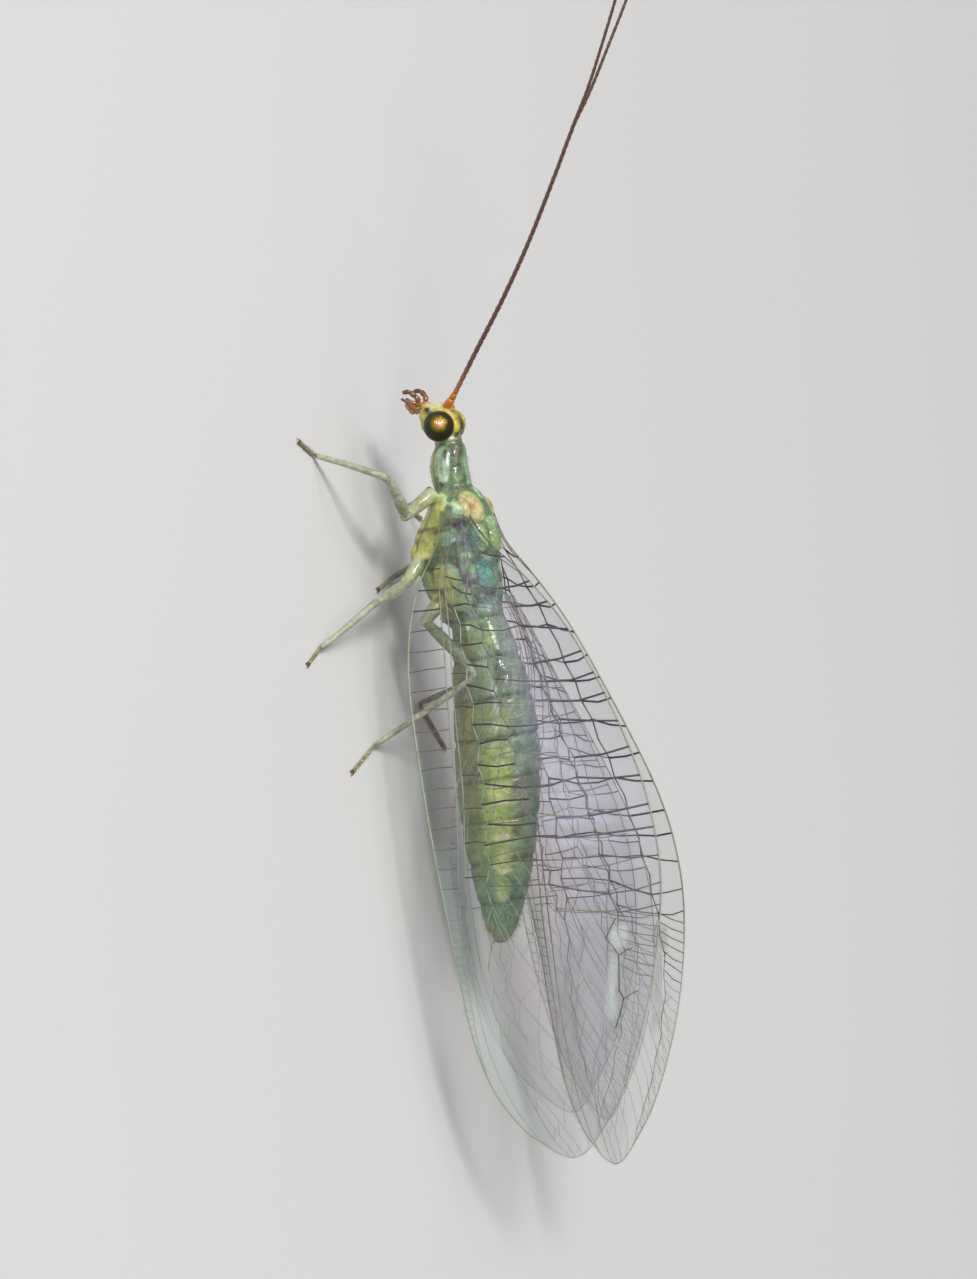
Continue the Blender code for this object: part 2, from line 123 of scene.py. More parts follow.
def curve_through(knots):
    """A smooth curve through knots of (place, value, value...), as a function of an array of places."""
    table = np.array(knots, float)
    places, values = table[:, 0], table[:, 1:]
    before = np.maximum(np.arange(len(table)) - 1, 0)
    after = np.minimum(np.arange(len(table)) + 1, len(table) - 1)
    slopes = (values[after] - values[before]) / (places[after] - places[before])[:, None]

    def at(where):
        where = np.atleast_1d(np.asarray(where, float))
        k = np.clip(np.searchsorted(places, where) - 1, 0, len(places) - 2)
        step = (places[k + 1] - places[k])[:, None]
        t = np.clip((where - places[k])[:, None] / step, 0.0, 1.0)
        rise = t * t * (3.0 - 2.0 * t)
        return (values[k] * (1.0 - rise) + values[k + 1] * rise
                + step * slopes[k] * t * (1.0 - t) ** 2 - step * slopes[k + 1] * t * t * (1.0 - t))
    return at


def smooth_step(low, high, value):
    """0 at low and 1 at high, with a soft rise between them."""
    t = np.clip((value - low) / (high - low), 0.0, 1.0)
    return t * t * (3.0 - 2.0 * t)


def bell(value, reach):
    """A soft bump: 1 where value is 0, and dying away beyond reach."""
    return np.exp(-(value / reach) ** 2)


def between(ends, share):
    """A value that runs from the first of two ends to the second."""
    return ends[0] + (ends[1] - ends[0]) * share


def reach_along(path):
    """Distance of each point of a path from its start."""
    return np.concatenate([[0.0], np.cumsum(np.linalg.norm(np.diff(path, axis=0), axis=1))])


def spots_along(far, reach, values):
    """Rows of values at some distances along a path whose own points lie at reach."""
    return np.stack([np.interp(far, reach, column) for column in np.asarray(values).T], axis=1)


def smooth_path(knots, share):
    """Points of a smooth path through even knots, at shares of its length."""
    return curve_through(np.column_stack([np.linspace(0.0, 1.0, len(knots)), knots]))(share)


def unit(vectors):
    """Vectors of length 1 with the directions of the rows given."""
    return vectors / np.linalg.norm(vectors, axis=1)[:, None]


def grid_faces(rows, columns, closed=False, start=0, flip=False):
    """Quads between the points of a grid stored row by row; closed joins the last column to the first."""
    r, c = np.meshgrid(np.arange(rows - 1), np.arange(columns if closed else columns - 1), indexing="ij")
    a = r * columns + c
    b = r * columns + (c + 1) % columns
    quads = np.stack([a, b, b + columns, a + columns], axis=-1).reshape(-1, 4) + start
    return quads[:, ::-1] if flip else quads


def with_caps(points, rows, sides, ends):
    """Points and faces of rings that a fan closes at each end, round one of the two end points."""
    first, last, tail = len(points), len(points) + 1, (rows - 1) * sides
    faces = [tuple(f) for f in grid_faces(rows, sides, closed=True)]
    for s in range(sides):
        after = (s + 1) % sides
        faces += [(first, after, s), (last, tail + s, tail + after)]
    return np.vstack([points, *ends]), faces


VALUE_KINDS = {1: ("FLOAT", "value"), 3: ("FLOAT_VECTOR", "vector"), 4: ("FLOAT_COLOR", "color")}


def write_values(mesh, values):
    """Gives the points of a mesh named numbers, vectors or colours."""
    for title, rows in values.items():
        rows = np.asarray(rows, np.float32)
        kind, field = VALUE_KINDS[rows.shape[1] if rows.ndim > 1 else 1]
        mesh.attributes.new(title, kind, "POINT").data.foreach_set(field, rows.ravel())


def new_object(name, data):
    """An object in the scene with some data of its own."""
    obj = bpy.data.objects.new(name, data)
    bpy.context.scene.collection.objects.link(obj)
    return obj


def mesh_object(name, points, faces=(), finish=None, values=None, edges=()):
    """A smooth mesh from points in millimetres, with named values for its points if any are given."""
    mesh = bpy.data.meshes.new(name)
    mesh.from_pydata([tuple(p) for p in points], list(edges), [tuple(int(i) for i in f) for f in faces])
    if finish:
        mesh.materials.append(finish)
    write_values(mesh, values or {})
    mesh.shade_smooth()
    return new_object(name, mesh)


def points_of(mesh):
    """The points of a mesh as rows."""
    flat = np.zeros(len(mesh.vertices) * 3, np.float32)
    mesh.vertices.foreach_get("co", flat)
    return flat.reshape(-1, 3).astype(float)


def facing_out(mesh):
    """Turns the faces of closed shapes outwards."""
    shape = bmesh.new()
    shape.from_mesh(mesh)
    bmesh.ops.recalc_face_normals(shape, faces=shape.faces)
    shape.to_mesh(mesh)
    shape.free()


def joined(name, parts):
    """One object from several, which are removed."""
    bpy.ops.object.select_all(action="DESELECT")
    for part in parts:
        part.select_set(True)
    bpy.context.view_layer.objects.active = parts[0]
    bpy.ops.object.join()
    parts[0].name = name
    parts[0].data.name = name
    return parts[0]


def made_plain(obj, name):
    """The plain mesh that an object's modifiers give; the object itself is removed."""
    bpy.context.view_layer.update()
    solved = obj.evaluated_get(bpy.context.evaluated_depsgraph_get())
    mesh = bpy.data.meshes.new_from_object(solved)
    bpy.data.objects.remove(obj, do_unlink=True)
    mesh.name = name
    return new_object(name, mesh)


def settle(obj, nodes=()):
    """Turns a finished piece into metres, sets it in the frame and hides the solid parts that it stands for.
    """
    obj.data.transform(Matrix.Translation(SHIFT) @ Matrix.Scale(MM, 4))
    obj.data.update()
    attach(obj, "root")
    if nodes:
        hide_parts(*nodes)


def tube(path, radii, sides):
    """Points and faces of a closed tube along a path, in rings that halve each bend."""
    path = np.asarray(path, float)
    steps = np.diff(path, axis=0)
    steps /= np.linalg.norm(steps, axis=1)[:, None]
    along = np.vstack([steps[:1], steps[:-1] + steps[1:], steps[-1:]])
    along /= np.linalg.norm(along, axis=1)[:, None]
    side = np.cross(along[0], (0.0, 0.0, 1.0) if abs(along[0][2]) < 0.9 else (1.0, 0.0, 0.0))
    angles = 2.0 * math.pi * np.arange(sides) / sides
    points = []
    for centre, forward, radius in zip(path, along, radii):
        side = side - forward * side.dot(forward)
        side /= np.linalg.norm(side)
        up = np.cross(side, forward)
        points.append(centre + radius * (np.outer(np.cos(angles), side) + np.outer(np.sin(angles), up)))
    return with_caps(np.vstack(points), len(path), sides, (path[0], path[-1]))


def ball(centre, radii, rings, sides):
    """Points and faces of an egg shape round a centre."""
    lift = np.linspace(-math.pi / 2.0, math.pi / 2.0, rings + 1)[1:-1]
    turn = 2.0 * math.pi * np.arange(sides) / sides
    z, a = np.meshgrid(lift, turn, indexing="ij")
    shell = np.stack([np.cos(z) * np.cos(a), np.cos(z) * np.sin(a), np.sin(z)], axis=-1).reshape(-1, 3)
    points, faces = with_caps(shell, rings - 1, sides, ((0.0, 0.0, -1.0), (0.0, 0.0, 1.0)))
    return points * radii + centre, faces


# ---- workshop: finishes

class Value:
    """A value in a finish's node tree, which ordinary arithmetic turns into Math nodes."""

    def __init__(self, finish, socket):
        self.finish = finish
        self.socket = socket

    def sum_of(self, operation, first, second):
        return self.finish.node("ShaderNodeMath", {"operation": operation}, {0: first, 1: second})

    def __add__(self, other):
        return self.sum_of("ADD", self, other)

    def __radd__(self, other):
        return self.sum_of("ADD", other, self)

    def __sub__(self, other):
        return self.sum_of("SUBTRACT", self, other)

    def __rsub__(self, other):
        return self.sum_of("SUBTRACT", other, self)

    def __mul__(self, other):
        return self.sum_of("MULTIPLY", self, other)

    def __rmul__(self, other):
        return self.sum_of("MULTIPLY", other, self)

    def within(self, low=0.0, high=1.0):
        return self.sum_of("MINIMUM", self.sum_of("MAXIMUM", self, low), high)


class Maker:
    """Adds nodes to the tree of a finish or of Geometry Nodes."""

    def plug(self, socket, value):
        if isinstance(value, Value):
            value = value.socket
        if isinstance(value, bpy.types.NodeSocket):
            self.tree.links.new(value, socket)
        elif socket.type == "RGBA" and len(value) == 3:
            socket.default_value = (*value, 1.0)
        else:
            socket.default_value = value

    def node(self, kind, settings=None, inputs=None, output=0):
        """One node: its type, its settings, and the values or links of its sockets."""
        made = self.tree.nodes.new(kind)
        for title, value in (settings or {}).items():
            if title == "stops":
                ramp = made.color_ramp
                while len(ramp.elements) < len(value):
                    ramp.elements.new(1.0)
                for element, (place, colour) in zip(ramp.elements, value):
                    element.position = place
                    element.color = (*colour, 1.0)
            else:
                setattr(made, title, value)
        for title, value in (inputs or {}).items():
            self.plug(made.inputs[title], value)
        return self.given(made.outputs[output])


class Finish(Maker):
    """One node-made material, in the insect's millimetres."""

    def __init__(self, name, **fixed):
        self.material = bpy.data.materials.new(name)
        self.material.use_nodes = True
        self.tree = self.material.node_tree
        self.shader = self.tree.nodes["Principled BSDF"]
        self.put(**fixed)

    def given(self, socket):
        return Value(self, socket)

    def put(self, **looks):
        for title, value in looks.items():
            self.plug(self.shader.inputs[title.replace("_", " ")], value)

    def place(self):
        """Object coordinates in millimetres."""
        spot = self.node("ShaderNodeTexCoord", output="Object")
        return self.node("ShaderNodeVectorMath", {"operation": "SCALE"}, {"Vector": spot, "Scale": 1.0 / MM})

    def value_of(self, attribute, output="Fac"):
        return self.node("ShaderNodeAttribute", {"attribute_name": attribute}, output=output)

    def noise(self, scale, detail=2.0, roughness=0.5):
        return self.node("ShaderNodeTexNoise", None, {"Vector": self.place(), "Scale": scale,
                                                      "Detail": detail, "Roughness": roughness})

    def cells(self, scale, feature="F1", randomness=1.0):
        return self.node("ShaderNodeTexVoronoi", {"feature": feature},
                         {"Vector": self.place(), "Scale": scale, "Randomness": randomness})

    def ramp(self, stops, share):
        return self.node("ShaderNodeValToRGB", {"stops": stops}, {0: share})

    def blend(self, share, first, second, kind="MIX"):
        return self.node("ShaderNodeMix", {"data_type": "RGBA", "blend_type": kind, "clamp_result": True},
                         {0: share, 6: first, 7: second}, output=2)

    def bump(self, height, distance, strength=1.0):
        """Bump from a height between 0 and 1; distance is its full height in millimetres."""
        lifted = self.node("ShaderNodeBump", None, {"Height": height, "Distance": distance * MM,
                                                    "Strength": strength})
        self.put(Normal=lifted)


def grown(obj, name, tree, inputs):
    """Runs a Geometry Nodes tree on an object and keeps the plain mesh that it gives."""
    modifier = obj.modifiers.new(tree.name, "NODES")
    modifier.node_group = tree
    for item in tree.interface.items_tree:
        if item.in_out == "INPUT" and item.name in inputs:
            modifier[item.identifier] = inputs[item.name]
    return made_plain(obj, name)


class Tree(Maker):
    """A Geometry Nodes tree under construction, with named inputs."""

    def __init__(self, name, sizes):
        self.tree = bpy.data.node_groups.new(name, "GeometryNodeTree")
        face = self.tree.interface
        face.new_socket("Geometry", in_out="INPUT", socket_type="NodeSocketGeometry")
        face.new_socket("Geometry", in_out="OUTPUT", socket_type="NodeSocketGeometry")
        for title, (kind, value) in sizes.items():
            socket = face.new_socket(title, in_out="INPUT", socket_type="NodeSocket" + kind)
            if value is not None:
                socket.default_value = value
        self.start = self.tree.nodes.new("NodeGroupInput")
        self.end = self.tree.nodes.new("NodeGroupOutput")

    def given(self, socket):
        return socket

    def size(self, title):
        return self.start.outputs[title]

    def named(self, title, kind="FLOAT"):
        return self.node("GeometryNodeInputNamedAttribute", {"data_type": kind}, {"Name": title})

    def close(self, shape):
        """Realizes what the tree made, gives it the material and hands it out."""
        real = self.node("GeometryNodeRealizeInstances", None, {"Geometry": shape})
        finished = self.node("GeometryNodeSetMaterial", None,
                             {"Geometry": real, "Material": self.size("Finish")})
        self.plug(self.end.inputs[0], finished)
        return self.tree


def tube_tree():
    """Round tubes along every line of a mesh, as thick at each point as its value `thick` says."""
    tree = Tree("tubes_along_lines", {"Sides": ("Int", 6), "Finish": ("Material", None)})
    lines = tree.node("GeometryNodeMeshToCurve", None, {"Mesh": tree.start.outputs[0]})
    ring = tree.node("GeometryNodeCurvePrimitiveCircle", None, {"Resolution": tree.size("Sides"),
                                                                "Radius": 1.0})
    tubes = tree.node("GeometryNodeCurveToMesh", None, {"Curve": lines, "Profile Curve": ring,
                                                        "Scale": tree.named("thick"), "Fill Caps": True})
    return tree.close(tubes)


def bristle_tree():
    """A pointed bristle on every point, along its value `lie` and as long as that is."""
    tree = Tree("bristles_on_points", {"Stoutness": ("Float", 0.05), "Finish": ("Material", None)})
    spike = tree.node("GeometryNodeMeshCone", None, {"Vertices": 3, "Side Segments": 1, "Fill Segments": 1,
                                                     "Radius Top": 0.0, "Radius Bottom": 1.0, "Depth": 1.0})
    lie = tree.named("lie", "FLOAT_VECTOR")
    turn = tree.node("FunctionNodeAlignRotationToVector", {"axis": "Z"}, {"Vector": lie})
    reach = tree.node("ShaderNodeVectorMath", {"operation": "LENGTH"}, {0: lie}, output="Value")
    girth = tree.node("ShaderNodeMath", {"operation": "MULTIPLY"}, {0: reach, 1: tree.size("Stoutness")})
    scale = tree.node("ShaderNodeCombineXYZ", None, {"X": girth, "Y": girth, "Z": reach})
    points = tree.node("GeometryNodeMeshToPoints", None, {"Mesh": tree.start.outputs[0]})
    set_out = tree.node("GeometryNodeInstanceOnPoints", None, {"Points": points, "Instance": spike,
                                                               "Rotation": turn, "Scale": scale})
    return tree.close(set_out)


# ---- wings: form and veins

class Wing:
    """The left wing of a pair: t runs from its root to its tip, v from its costal to its hind margin."""

    fore_low = staticmethod(curve_through(FORE_COSTA))
    fore_high = staticmethod(curve_through(FORE_HIND))

    def __init__(self, costa, hind, inset):
        self.low, self.high = curve_through(costa), curve_through(hind)
        self.low_span = (costa[0][0], costa[-1][0])
        self.high_span = (hind[0][0], hind[-1][0])
        self.inset = inset

    def plan(self, t, v):
        """Distance behind the root and distance up the roof."""
        low_y, high_y = between(self.low_span, t), between(self.high_span, t)
        low, high = self.low(low_y)[:, 0], self.high(high_y)[:, 0]
        rounding = TIP_REACH * (high - low) * np.maximum(t - TIP_START, 0.0) / (1.0 - TIP_START)
        return low_y + (high_y - low_y) * v + rounding * np.sin(math.pi * v), low + (high - low) * v

    def bulge(self, y, up):
        """How far the wing stands out from its flat roof."""
        t = np.clip(y / FOREWING_LENGTH, 0.0, 1.0)
        low, high = self.fore_low(y)[:, 0], self.fore_high(y)[:, 0]
        v = np.clip((up - low) / (high - low), 0.0, 1.0)
        bow = WING_CAMBER * np.sin(math.pi * v) * (high - low) / FOREWING_WIDTH
        belly = np.maximum(np.sin(math.pi * t ** BELLY_PLACE), 0.0) ** BELLY_FULLNESS
        return TIP_SPREAD * t + WING_BELLY * belly + bow

    def place(self, t, v):
        """Points on the wing, in millimetres."""
        y, up = self.plan(t, v)
        lean = RIDGE_DRAW * v ** 3 * (1.0 - smooth_step(RIDGE_END - RIDGE_FADE, RIDGE_END, y))
        off = self.bulge(y, up) - self.inset - lean * smooth_step(0.0, ROOT_REACH, y)
        return WING_ROOT + np.outer(y, (0.0, 1.0, 0.0)) + np.outer(up, CHORD) + np.outer(off, OUTWARD)


# Long veins of each pair as (t, v) knots; rows of small veins as first and last t and their step;
# stout veins by their two ends; and the branches of the fan by their start t and their end on the rim
FORE_VEINS = {
    "subcosta": [(0.0, 0.3), (0.04, 0.2), (0.07, 0.18), (0.1, 0.2), (0.16, 0.22), (0.22, 0.218),
                 (0.27, 0.2), (0.34, 0.172), (0.43, 0.145), (0.5, 0.115), (0.58, 0.075), (0.67, 0.04),
                 (0.78, 0.03), (0.88, 0.0)],
    "radius": [(0.0, 0.4), (0.04, 0.28), (0.07, 0.245), (0.1, 0.255), (0.16, 0.268), (0.22, 0.256),
               (0.27, 0.235), (0.34, 0.206), (0.43, 0.178), (0.5, 0.145), (0.58, 0.105), (0.67, 0.075),
               (0.78, 0.065), (0.9, 0.08), (0.985, 0.1)],
    "sector": [(0.085, 0.265), (0.12, 0.315), (0.18, 0.335), (0.25, 0.325), (0.34, 0.298), (0.43, 0.27),
               (0.52, 0.235), (0.6, 0.2), (0.68, 0.165), (0.76, 0.15), (0.84, 0.165), (0.91, 0.22),
               (0.98, 0.32)],
    "pseudomedia": [(0.02, 0.64), (0.06, 0.56), (0.12, 0.5), (0.2, 0.47), (0.3, 0.455), (0.4, 0.455),
                    (0.5, 0.465), (0.58, 0.485), (0.65, 0.52)],
    "pseudocubitus": [(0.01, 0.8), (0.05, 0.76), (0.1, 0.745), (0.17, 0.74), (0.25, 0.725),
                      (0.35, 0.715), (0.45, 0.72), (0.55, 0.735), (0.62, 0.76), (0.68, 0.8),
                      (0.74, 0.84), (0.82, 0.86), (0.9, 0.86), (0.96, 0.82)],
    "anal": [[(0.0, 0.86), (0.04, 0.88), (0.08, 0.92), (0.12, 1.0)],
             [(0.0, 0.94), (0.03, 0.96), (0.06, 1.0)]],
    "stout": [((0.662, 0.781), (0.69, 0.732)), ((0.69, 0.732), (0.7185, 0.802)),
              ((0.7185, 0.802), (0.711, 0.872)), ((0.7185, 0.802), (0.772, 0.821)),
              ((0.772, 0.821), (0.787, 0.854)), ((0.787, 0.854), (0.778, 0.928)),
              ((0.787, 0.854), (0.829, 0.831))],
    "costal": (0.084, 0.6, 0.0305),
    "stigma": (0.62, 0.86, 0.014),
    "radial": (0.145, 0.6, 0.052),
    "rungs": (0.13, 0.63, 0.0305),
    "marginal": [0.086, 0.129, 0.165, 0.2125, 0.249, 0.285, 0.319, 0.365, 0.407, 0.453, 0.4985, 0.5346,
                 0.5787, 0.62, 0.653],
    "fringe": (0.672, 0.985, 0.0148),
    "fan": [(0.42, 0.845, 1.0), (0.47, 0.875, 1.0), (0.52, 0.902, 1.0), (0.57, 0.928, 1.0),
            (0.62, 0.95, 1.0), (0.67, 0.97, 1.0), (0.72, 0.99, 1.0), (0.77, 1.0, 0.86),
            (0.82, 1.0, 0.69), (0.87, 1.0, 0.53), (0.91, 1.0, 0.39)],
}
HIND_VEINS = {
    "subcosta": [(0.0, 0.3), (0.1, 0.12), (0.25, 0.07), (0.5, 0.05), (0.75, 0.035), (0.88, 0.0)],
    "radius": [(0.0, 0.38), (0.1, 0.2), (0.25, 0.13), (0.5, 0.1), (0.75, 0.075), (0.9, 0.09), (0.98, 0.1)],
    "sector": [(0.05, 0.28), (0.1, 0.31), (0.2, 0.3), (0.4, 0.26), (0.6, 0.22), (0.8, 0.2), (0.9, 0.24),
               (0.98, 0.35)],
    "pseudomedia": [(0.02, 0.55), (0.1, 0.5), (0.3, 0.47), (0.5, 0.48), (0.62, 0.52)],
    "pseudocubitus": [(0.01, 0.75), (0.1, 0.74), (0.3, 0.73), (0.5, 0.745), (0.64, 0.79), (0.74, 0.84),
                      (0.84, 0.86), (0.94, 0.84)],
    "anal": [[(0.0, 0.85), (0.06, 0.92), (0.1, 1.0)]],
    "stout": [],
    "costal": (0.12, 0.6, 0.042),
    "stigma": (0.64, 0.86, 0.019),
    "radial": (0.14, 0.6, 0.075),
    "rungs": (0.12, 0.6, 0.064),
    "marginal": [0.1, 0.15, 0.2, 0.25, 0.3, 0.35, 0.4, 0.45, 0.5, 0.55, 0.6, 0.64],
    "fringe": (0.67, 0.98, 0.022),
    "fan": [(0.48, 0.88, 1.0), (0.6, 0.95, 1.0), (0.72, 1.0, 0.88), (0.82, 1.0, 0.6)],
}
VEIN_STEP = 0.11  # spacing of the points along a vein
ZIGZAG = 0.011  # swing of the kinked long veins, as a share of the chord
NODE_STAIN = 0.1  # reach of the dark stain round a vein's joint
SHORT_VEIN = 0.09  # a stretch longer than this has a point in its middle
WEAK_GIRTH = 0.32  # girth of a vein of no weight, as a share of a full one's
ROOT_STRETCH = (0.16, 0.04)  # veins grow darker and thinner towards the root from here to here
FAINT = 0.35  # veins less dark than this fade towards the wing's tip
TIP_STRETCH = (0.64, 0.76)  # and do so from here to here
RUNG_GIRTH, MARGIN_RUNG_GIRTH = 0.021, 0.024
RUNG_FADE = 0.4  # what the rungs lose of their strength towards the wing's tip

# Build of the long veins: radii at both ends, and how dark they are at their joints and between them
BUILD = {"front_margin": ((0.026, 0.018), (0.12, 0.12)), "tip_margin": ((0.018, 0.015), (0.1, 0.1)),
         "hind_margin": ((0.016, 0.018), (0.2, 0.2)), "subcosta": ((0.013, 0.012), (0.22, 0.22)),
         "radius": ((0.015, 0.013), (0.22, 0.22)), "sector": ((0.018, 0.008), (0.5, 0.12)),
         "pseudomedia": ((0.018, 0.012), (0.65, 0.28)), "pseudocubitus": ((0.018, 0.012), (0.7, 0.3)),
         "anal": ((0.02, 0.014), (0.3, 0.3)), "fan": ((0.009, 0.006), (0.08, 0.0)),
         "root_cell": ((0.018, 0.018), (0.9, 0.4))}
# Build of the short veins: radius and darkness
SMALL_BUILD = {"stigma": (0.009, 0.3), "first": (0.018, 1.0), "radial": (0.015, 0.7), "fork": (0.006, 0.0),
               "step": (0.0075, 0.14), "root": (0.02, 0.9), "root_cell": (0.019, 0.9)}
FAN_STEPS = (3, 6, 9)  # the fan's points that a small vein joins to the next branch
FAN_POINTS = 15
FAN_BEND = 1.7  # the higher, the later a branch turns towards the rim
MARGIN_POINTS = 150


class Net:
    """The veins of one wing: lines of (t, v) points with a thickness and a darkness."""

    def __init__(self, wing, seed, weight):
        self.wing = wing
        self.weight = weight
        self.chance = random.Random(seed)
        self.lines = []

    def vein(self, nodes, thick, dark):
        """thick is the radius at both ends; dark is how dark it is at its joints and between them."""
        nodes = np.array(nodes, float)
        y, up = self.wing.plan(nodes[:, 0], nodes[:, 1])
        lengths = np.hypot(np.diff(y), np.diff(up))
        path, stain = [nodes[0]], [0.0]
        for a, b, length in zip(nodes, nodes[1:], lengths):
            count = max(int(math.ceil(length / VEIN_STEP)), 2 if length > SHORT_VEIN else 1)
            for k in range(1, count + 1):
                share = k / count
                path.append(a + (b - a) * share)
                stain.append(min(share, 1.0 - share) * length)
        path, stain = np.array(path), np.array(stain)
        along = np.linspace(0.0, 1.0, len(path))
        girth = between(thick, along) * between((WEAK_GIRTH, 1.0), self.weight)
        shade = between(dark[::-1], bell(stain, NODE_STAIN))
        root = smooth_step(*ROOT_STRETCH, path[:, 0])
        girth = girth * (1.0 - 0.4 * root)
        shade = shade + 0.25 * root * (shade < 0.4)
        if dark[1] < FAINT:
            tip = smooth_step(*TIP_STRETCH, path[:, 0])
            girth = girth * (1.0 - 0.3 * tip)
            shade = shade * (1.0 - 0.6 * tip)
        self.lines.append((path, girth, shade * self.weight + 0.25 * (1.0 - self.weight) * (shade > 0.15)))

    def long(self, track, start, end, build, count=70):
        """A smooth long vein along a track."""
        places = np.linspace(start, end, count)
        self.vein(np.stack([places, track(places)[:, 0]], axis=1), *BUILD[build])

    def cross(self, a, b, thick, dark, bow=0.0):
        """A short vein between two joints, a little bent."""
        a, b = np.array(a, float), np.array(b, float)
        middle = (a + b) / 2.0 + np.array((bow + self.chance.uniform(-0.002, 0.002), 0.0))
        self.vein([a, middle, b], (thick, thick * 0.9), (dark, dark * 0.88))

    def kinked(self, track, start, end, count, build):
        """A long vein that turns a little at each of its joints; returns the joints."""
        places = np.linspace(start, end, count)
        swing = np.where(np.arange(count) % 2, ZIGZAG, -ZIGZAG)
        joints = np.stack([places, track(places)[:, 0] + swing], axis=1)
        self.vein(joints, *BUILD[build])
        return joints


def nearest(joints, t):
    """The joint of a kinked vein that is nearest to t."""
    return joints[np.argmin(np.abs(joints[:, 0] - t))]


def faded(start, end, t):
    """Strength of a rung: 1 before start, and less by RUNG_FADE from end on."""
    return 1.0 - RUNG_FADE * float(smooth_step(start, end, t))


def net_of(wing, veins, seed, weight, chain):
    """All the veins of one wing; weight is how strong they are, chain how strong its stout cells are."""
    net = Net(wing, seed, weight)
    chance = net.chance
    tracks = {title: curve_through(veins[title])
              for title in ("subcosta", "radius", "sector", "pseudomedia", "pseudocubitus")}
    ends = {title: veins[title][-1][0] for title in tracks}

    def on(title, t):
        """The point of a long vein at t."""
        return t, float(tracks[title](t)[0, 0])

    # margins
    places = np.linspace(0.0, 1.0, MARGIN_POINTS)
    for build, t, v in (("front_margin", places, 0.0 * places),
                        ("tip_margin", 1.0 + 0.0 * places[::8], places[::8]),
                        ("hind_margin", places[::-1], 1.0 + 0.0 * places)):
        net.vein(np.stack([t, v], axis=1), *BUILD[build])

    # long veins
    for title in ("subcosta", "radius"):
        net.long(tracks[title], 0.0, ends[title], title)
    sector, media, cubitus = (
        net.kinked(tracks[title], start, ends[title], count, title)
        for title, start, count in (("sector", veins["sector"][0][0], 30), ("pseudomedia", 0.02, 34),
                                    ("pseudocubitus", 0.01, 32)))
    for anal in veins["anal"]:
        net.long(curve_through(anal), 0.0, anal[-1][0], "anal", 20)

    # small veins of the costal field and of the stigma
    for t in np.arange(*veins["costal"]):
        lean = chance.uniform(0.001, 0.005)
        strong = float(smooth_step(0.19, 0.13, t))
        net.cross((t, 0.0), on("subcosta", t + lean), 0.0125 + 0.006 * strong, 0.5 + 0.5 * strong)
    for t in np.arange(*veins["stigma"]):
        net.cross((t, 0.0), on("subcosta", t + 0.004), *SMALL_BUILD["stigma"])
    net.cross(on("subcosta", 0.065), on("radius", 0.07), *SMALL_BUILD["first"])

    # cross veins between the radius and its sector, and between the sector and the pseudomedia
    for t in np.arange(*veins["radial"]):
        net.cross(on("radius", t), on("sector", t + 0.004), *SMALL_BUILD["radial"])
    for t in np.arange(*veins["rungs"]):
        fade = faded(0.48, 0.6, t)
        bow = chance.uniform(-0.003, 0.003)
        net.cross(nearest(sector, t), nearest(media, t - 0.004), RUNG_GIRTH * fade, fade, bow)

    # cells between the two kinked veins, and the rungs from there to the hind margin
    used = set()
    for k, t in enumerate(veins["marginal"]):
        root = nearest(cubitus, t - 0.006)
        upper = nearest(media, t - 0.02)
        if tuple(upper) not in used and upper[0] < root[0] + 0.02:
            strong = k % 2
            net.cross(upper, root, 0.013 + 0.006 * strong, 0.45 + 0.45 * strong, 0.003)
            used.add(tuple(upper))
        fade = faded(0.5, 0.64, t)
        net.cross(root, (t, 1.0), MARGIN_RUNG_GIRTH * fade, fade, chance.uniform(0.001, 0.005))
    for t in np.arange(*veins["fringe"]):
        faint = float(smooth_step(0.75, 0.82, t))
        net.cross(on("pseudocubitus", t - 0.022), (t, 1.0), 0.0105 - 0.003 * faint, 0.5 - 0.4 * faint, 0.002)

    # the fan at the tip: branches of the sector that run along the wing, with rows of steps between them
    fan = []
    share = np.linspace(0.0, 1.0, FAN_POINTS)
    for t, *rim in veins["fan"]:
        start, rim = nearest(sector, t), np.array(rim)
        path = start + (rim - start) * np.stack([share, share ** FAN_BEND], axis=1)
        net.vein(path, *BUILD["fan"])
        fork = np.minimum(rim + (0.014, 0.0), 1.0) - (0.0, 0.0 if rim[1] == 1.0 else 0.06)
        net.cross(path[-3], fork, *SMALL_BUILD["fork"])
        fan.append(path)
    size = np.array((FOREWING_LENGTH, FOREWING_WIDTH))
    for one, other in zip(fan, fan[1:]):
        for place in FAN_STEPS:
            away = np.linalg.norm((other - one[place]) * size, axis=1)
            after = min(int(np.argmin(away)) + 1, FAN_POINTS - 1)
            net.cross(one[place], other[after], *SMALL_BUILD["step"])

    # stout cells before the hind margin
    for one, other in veins["stout"]:
        net.cross(one, other, 0.007 + 0.006 * chain, 0.12 + 0.5 * chain)
    # cells at the root
    net.cross(on("radius", 0.1), nearest(media, 0.12), *SMALL_BUILD["root"])
    net.vein([nearest(media, 0.1), (0.135, 0.43), nearest(media, 0.185)], *BUILD["root_cell"])
    net.cross(on("pseudomedia", 0.04), on("pseudocubitus", 0.045), *SMALL_BUILD["root_cell"])
    net.cross(on("pseudocubitus", 0.055), (0.05, 0.9), *SMALL_BUILD["root_cell"])
    return net


# ---- wings: veins and clear skins

HALF_MEMBRANE = 0.012  # half the thickness of a clear wing skin
PILLOW = 0.02  # how far the skin swells between its veins
PILLOW_REACH = 0.12  # distance from a vein at which the swelling is nearly full
RIB_REACH = 0.05  # reach of the haze beside a vein
VEIN_SIDES = 6


